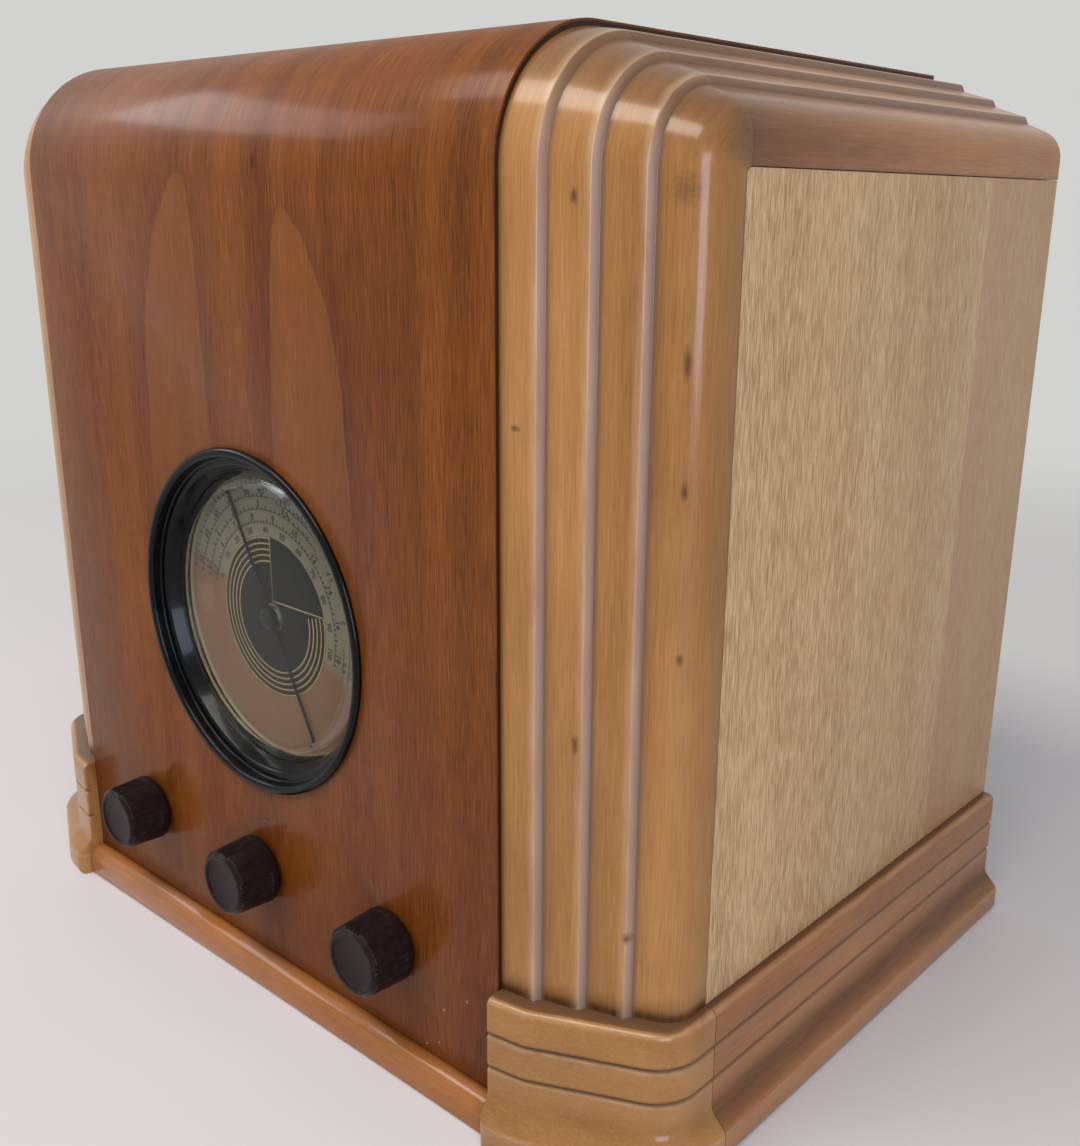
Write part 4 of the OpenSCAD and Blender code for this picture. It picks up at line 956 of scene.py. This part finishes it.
def dial():
    """The bezel, the glass with its rolled rim, the printed sheet, its retainer and the pointer."""
    bezel = rounded([(61.5, 15, 0), (61.5, 0.05, 0), (64.5, 0.05, 0.3), (64.5, -2, 1.6), (60.9, -2, 1.6),
                     (60.9, 2.6, 0.8), (57.8, 2.6, 1.6), (55.2, 8, 0.5), (55.2, 9.15, 0), (60.15, 9.15, 0),
                     (60.15, 15, 0)], 7)
    ring = turned("dial_ring", [(p.x, p.y) for p in bezel])
    eased(ring, 0, 45)
    placed(ring, "cabinet", enamel, "black_enamel", "dial_bezel")
    inside = [(r * 0.97, y + 2) for r, y in GLASS[::-1]]
    dome = turned("dial_window", GLASS + [(59.9, 9.2), (59.9, 11.2)] + inside)
    eased(dome, 0, 40)
    dome.visible_shadow = False
    placed(dome, "cabinet", dial_glass, "dial_glass", "dial_glass")
    dome.data.materials.append(rolled_glass)
    for face in dome.data.polygons:
        face.material_index = int(hypot(face.center.x, face.center.z - DIAL_Z * MM) > 0.049)
    refined("dial_plate", dial_sheet, width=0)
    refined("dial_retainer", plated)
    refined("dial_pointer", enamel, "tuning_gang", width=0.0001)


def printed_marks():
    """Rings, rules and scales printed on the dial sheet, each a skin of ink."""
    # where the ink's face lies and how thick it is
    skin, ink_t = 12.36, 0.02
    # the scales run from one of these angles to the other, in degrees from upright
    start, end, margin = -78, 106, 5

    def band(verts, faces, r0, r1, a0, a1):
        steps = max(1, int(abs(a1 - a0) / 3))
        first = len(verts)
        for i in range(steps + 1):
            a = radians(a0 + (a1 - a0) * i / steps)
            for r in (r0, r1):
                verts.append(at(r * sin(a), skin, DIAL_Z + r * cos(a)))
        for i in range(steps):
            k = first + 2 * i
            faces.append((k, k + 1, k + 3, k + 2))

    def make(name, bands, ink, step=0.0):
        verts, faces = [], []
        for b in bands:
            band(verts, faces, *b)
        piece = meshed(name, [v - Vector((0, step, 0)) for v in verts], faces)
        editing(piece, lambda: bpy.ops.mesh.normals_make_consistent(inside=False))
        with_modifier(piece, "SOLIDIFY", thickness=ink_t * MM, offset=0)
        placed(piece, "cabinet", ink, "printed_dial")

    make("dial_centre", [(5.2, 30.6, -180, 180)], black_ink)
    rings = [(r, r + 0.62, 78.3, 360) for r in (21.0, 23.2, 25.4, 27.6, 29.8)]
    make("dial_gold_lines", rings + [(6, 30.4, 359.6, 360.4)], gold_ink, 0.00003)
    bar = (0, 6), (29.6, 6), (29.6, 6.5), (0, 6.5)
    rule = section("dial_rule", [at(x, skin - 0.03, DIAL_Z + z) for x, z in bar])
    with_modifier(rule, "SOLIDIFY", thickness=ink_t * MM, offset=0)
    placed(rule, "cabinet", gold_ink, "printed_dial")
    make("dial_block", [(38.5, 49, 261, 276)], rust_ink)
    ticks = []
    for r, length, count in ((50.0, 1.8, 54), (45.2, 1.4, 60), (40.4, 1.4, 48), (35.6, 1.3, 60)):
        for i in range(count + 1):
            a = start + (end - start) * i / count
            long = 1.0 if i % 5 else 1.7
            ticks.append((r, r + length * long * 0.7, a - 0.45 * 45 / r, a + 0.45 * 45 / r))
    arcs = [(r, r + 0.3, start, end) for r in (49.9, 45.1, 40.3, 35.5)]
    make("dial_scale_lines", ticks + arcs, blue_ink, 0.00001)
    scales = ((46.2, 3.7, "55 60 65 70 80 90 100 110 120 130 140 150 160"),
              (41.4, 3.6, "1.7 2 2.5 3 3.5 4 4.5 5 5.5"),
              (36.7, 3.5, "5.7 6 7 8 9 10 12 14 16 18"),
              (31.9, 3.3, "0 10 20 30 40 50 60 70 80 90 100"))
    figures = []
    for r, size, words in scales:
        words = words.split()
        for i, word in enumerate(words):
            a = radians(start + margin + (end - start - 2 * margin) * i / (len(words) - 1))
            text = added(bpy.ops.object.text_add)
            text.data.body = word
            text.data.align_x = "CENTER"
            text.data.size = size * MM
            text.data.extrude = ink_t / 2 * MM
            text.data.resolution_u = 2
            text.data.offset = 0.00011
            bpy.ops.object.convert(target="MESH")
            turn = Matrix.Rotation(a, 4, "Y") @ Matrix.Translation((0, 0, r * MM)) @ Matrix.Rotation(pi / 2, 4, "X")
            text.data.transform(Matrix.Translation(at(0, skin - 0.01, DIAL_Z)) @ turn)
            text.matrix_world = Matrix.Identity(4)
            figures.append(text)
    bpy.ops.object.select_all(action="DESELECT")
    for text in figures:
        text.select_set(True)
    bpy.context.view_layer.objects.active = figures[0]
    bpy.ops.object.join()
    piece = bpy.context.object
    piece.name = "dial_figures"
    placed(piece, "cabinet", blue_ink, "printed_dial")


dial()
printed_marks()

# Controls

CONTROLS = ("volume", "volume_turn"), ("tuning", "tuning_control"), ("band", "band_turn")
for control, body in CONTROLS:
    refined(control + "_knob", bakelite, body, width=0.00025, angle=32)
for control, body in CONTROLS:
    refined(control + "_shaft", shaft_steel, body, width=0.0002)

# Chassis and loudspeaker

for node in ("chassis_pan", "chassis_bolts", "lamp_brackets", "condenser_pedestal", "condenser_frame",
             "volume_control", "speaker_frame", "output_transformer"):
    refined(node, plated)
for node in ("band_switch", "valve_sockets", "terminal_strip"):
    refined(node, phenolic)
refined("valve_bases", bakelite, width=0.0005)
refined("tuning_bushing", brass)
refined("drive_drum", brass, "tuning_gang")
refined("condenser_rotor", aluminium, "tuning_gang", width=0.0001)
refined("condenser_stators", aluminium, width=0.0001)
refined("if_cans", aluminium, width=0.001)
refined("filter_capacitor", spun_can, width=0.001)
refined("power_transformer", wrinkle, width=0.001)
refined("speaker_magnet", wrinkle, width=0.001)
refined("valve_anodes", anode_coat)
refined("cord_grommet", rubber, width=0.0005)
refined("speaker_cone", cone_paper, "cone", width=0)
refined("drive_cord", linen, width=0)
for node in ("signal_bulbs", "output_bulb", "rectifier_bulb", "dial_lamps"):
    refined(node, bulb_glass, width=0)


def grille_cloth():
    """A round of cloth drawn flat over the loudspeaker's opening, sinking a little where nothing backs it."""
    # the radii of the cloth and of the opening, the depth it sinks and the place of its middle
    rim, hole, sag, y, z = 66, 54, 1.2, 234.15, 258
    cloth = added(bpy.ops.mesh.primitive_grid_add, x_subdivisions=88, y_subdivisions=88, size=2 * rim * MM)
    cloth.name = "stretched_cloth"
    weave = cloth.data.uv_layers[0]
    weave.name = "weave"
    for loop in cloth.data.loops:
        co = cloth.data.vertices[loop.vertex_index].co
        weave.data[loop.index].uv = (co.x, co.y)
    only(cloth)
    bpy.ops.object.mode_set(mode="EDIT")
    bpy.ops.mesh.select_all(action="DESELECT")
    bpy.ops.object.mode_set(mode="OBJECT")
    for v in cloth.data.vertices:
        v.select = hypot(v.co.x, v.co.y) > rim * MM
    bpy.ops.object.mode_set(mode="EDIT")
    bpy.ops.mesh.delete(type="VERT")
    # the cut edge, still in steps, is drawn out to the round
    bpy.ops.mesh.select_non_manifold()
    bpy.ops.object.mode_set(mode="OBJECT")
    for v in cloth.data.vertices:
        if v.select:
            v.co *= rim * MM / v.co.length
        r = hypot(v.co.x, v.co.y) * 1000
        sink = 0.0 if r > hole else sag * (1 - (r / hole) ** 2)
        v.co = at(v.co.x * 1000, y - sink, z + v.co.y * 1000)
    editing(cloth, lambda: bpy.ops.mesh.normals_make_consistent(inside=False))
    with_modifier(cloth, "SOLIDIFY", thickness=0.0005, offset=0)
    eased(cloth, 0, 60)
    placed(cloth, "cabinet", grille_weave, "grille_cloth", "grille_cloth")


grille_cloth()

# Stage, light and camera


ROOM = "#d2d3d0"


def in_view(t):
    """One for what is seen straight, through glass or in a reflection, and nought for what only gives light."""
    path = add(t, "LightPath")
    clear = add(t, "Math MAXIMUM", (path.outputs["Is Camera Ray"], path.outputs["Is Transmission Ray"]))
    return add(t, "Math MAXIMUM", (clear, path.outputs["Is Glossy Ray"]))


def stage():
    """A pale shelf that runs out into the pale of the room, so that no horizon shows."""
    m, t = blank("pale_shelf")
    place = add(t, "TexCoord").outputs["Object"]
    cloud = add(t, "TexNoise", {"Vector": place, "Scale": 3, "Detail": 3})
    colour = add(t, "Mix", {0: cloud, 6: "#cccbd0", 7: "#d5d4d8"})
    shelf = add(t, "BsdfPrincipled", {"Base Color": colour, "Roughness": 0.6, "Specular IOR Level": 0.3})
    air = add(t, "Emission", {"Color": ROOM})
    away = add(t, "VectorMath LENGTH", (place,))
    far = add(t, "MapRange", {"Value": away, "From Min": 0.45, "From Max": 1.3}, interpolation_type="SMOOTHSTEP")
    share = add(t, "Math MULTIPLY", (far, in_view(t)))
    add(t, "OutputMaterial", {"Surface": add(t, "MixShader", {0: share, 1: shelf, 2: air})})
    floor = added(bpy.ops.mesh.primitive_plane_add, size=12)
    floor.name = "shelf"
    floor.data.materials.append(m)
    world = bpy.data.worlds.new("soft_room")
    bpy.context.scene.world = world
    world.use_nodes = True
    tree = world.node_tree
    tree.nodes.clear()
    room = add(tree, "Background", {"Color": "#e6e4df", "Strength": 0.5})
    wall = add(tree, "Background", {"Color": ROOM, "Strength": 1.0})
    add(tree, "OutputWorld", {"Surface": add(tree, "MixShader", {0: in_view(tree), 1: room, 2: wall})})


def lamp(name, place, aim, size, power, colour):
    """An oblong light of a size in metres and a power in watts."""
    light = bpy.data.lights.new(name, "AREA")
    light.shape = "RECTANGLE"
    light.size, light.size_y = size
    light.energy = power
    light.color = hue(colour)[:3]
    o = bpy.data.objects.new(name, light)
    bpy.context.scene.collection.objects.link(o)
    o.location = place
    o.rotation_euler = (Vector(aim) - Vector(place)).to_track_quat("-Z", "Y").to_euler()


def camera():
    """Stands where the photograph was taken from, to the front and right."""
    right = Vector((0.7482272, 0.6633389, 0.0117268))
    up = Vector((-0.205625, 0.2150613, 0.9547078))
    back = Vector((0.6307729, -0.7167497, 0.2973137))
    eye = Vector((0.37443, -0.36198, 0.29747))
    # the picture's size, the focal length and the point straight ahead, in pixels
    wide, high, focal, ahead_x, ahead_y = 1080, 1146, 1262.24, 569.4, 590.85
    data = bpy.data.cameras.new("camera")
    data.sensor_fit = "AUTO"
    data.sensor_width = 36
    data.lens = focal / high * data.sensor_width
    data.shift_x = (wide / 2 - ahead_x) / high
    data.shift_y = (ahead_y - high / 2) / high
    data.clip_start = 0.01
    o = bpy.data.objects.new("camera", data)
    bpy.context.scene.collection.objects.link(o)
    o.matrix_world = Matrix.Translation(eye) @ Matrix((right, up, back)).transposed().to_4x4()
    bpy.context.scene.camera = o


stage()
lamp("ceiling", (-0.05, -0.9, 1.75), (0, 0, 0.15), (1.6, 0.55), 25, "#fff6ea")
lamp("window_left", (-1.55, -0.85, 1.25), (0, 0, 0.3), (1.6, 0.5), 11, "#f3f6ff")
lamp("window_right", (1.5, -0.85, 0.5), (0.1, 0, 0.25), (0.6, 0.95), 13, "#dbe5ff")
camera()
bpy.context.scene.view_settings.view_transform = "Standard"
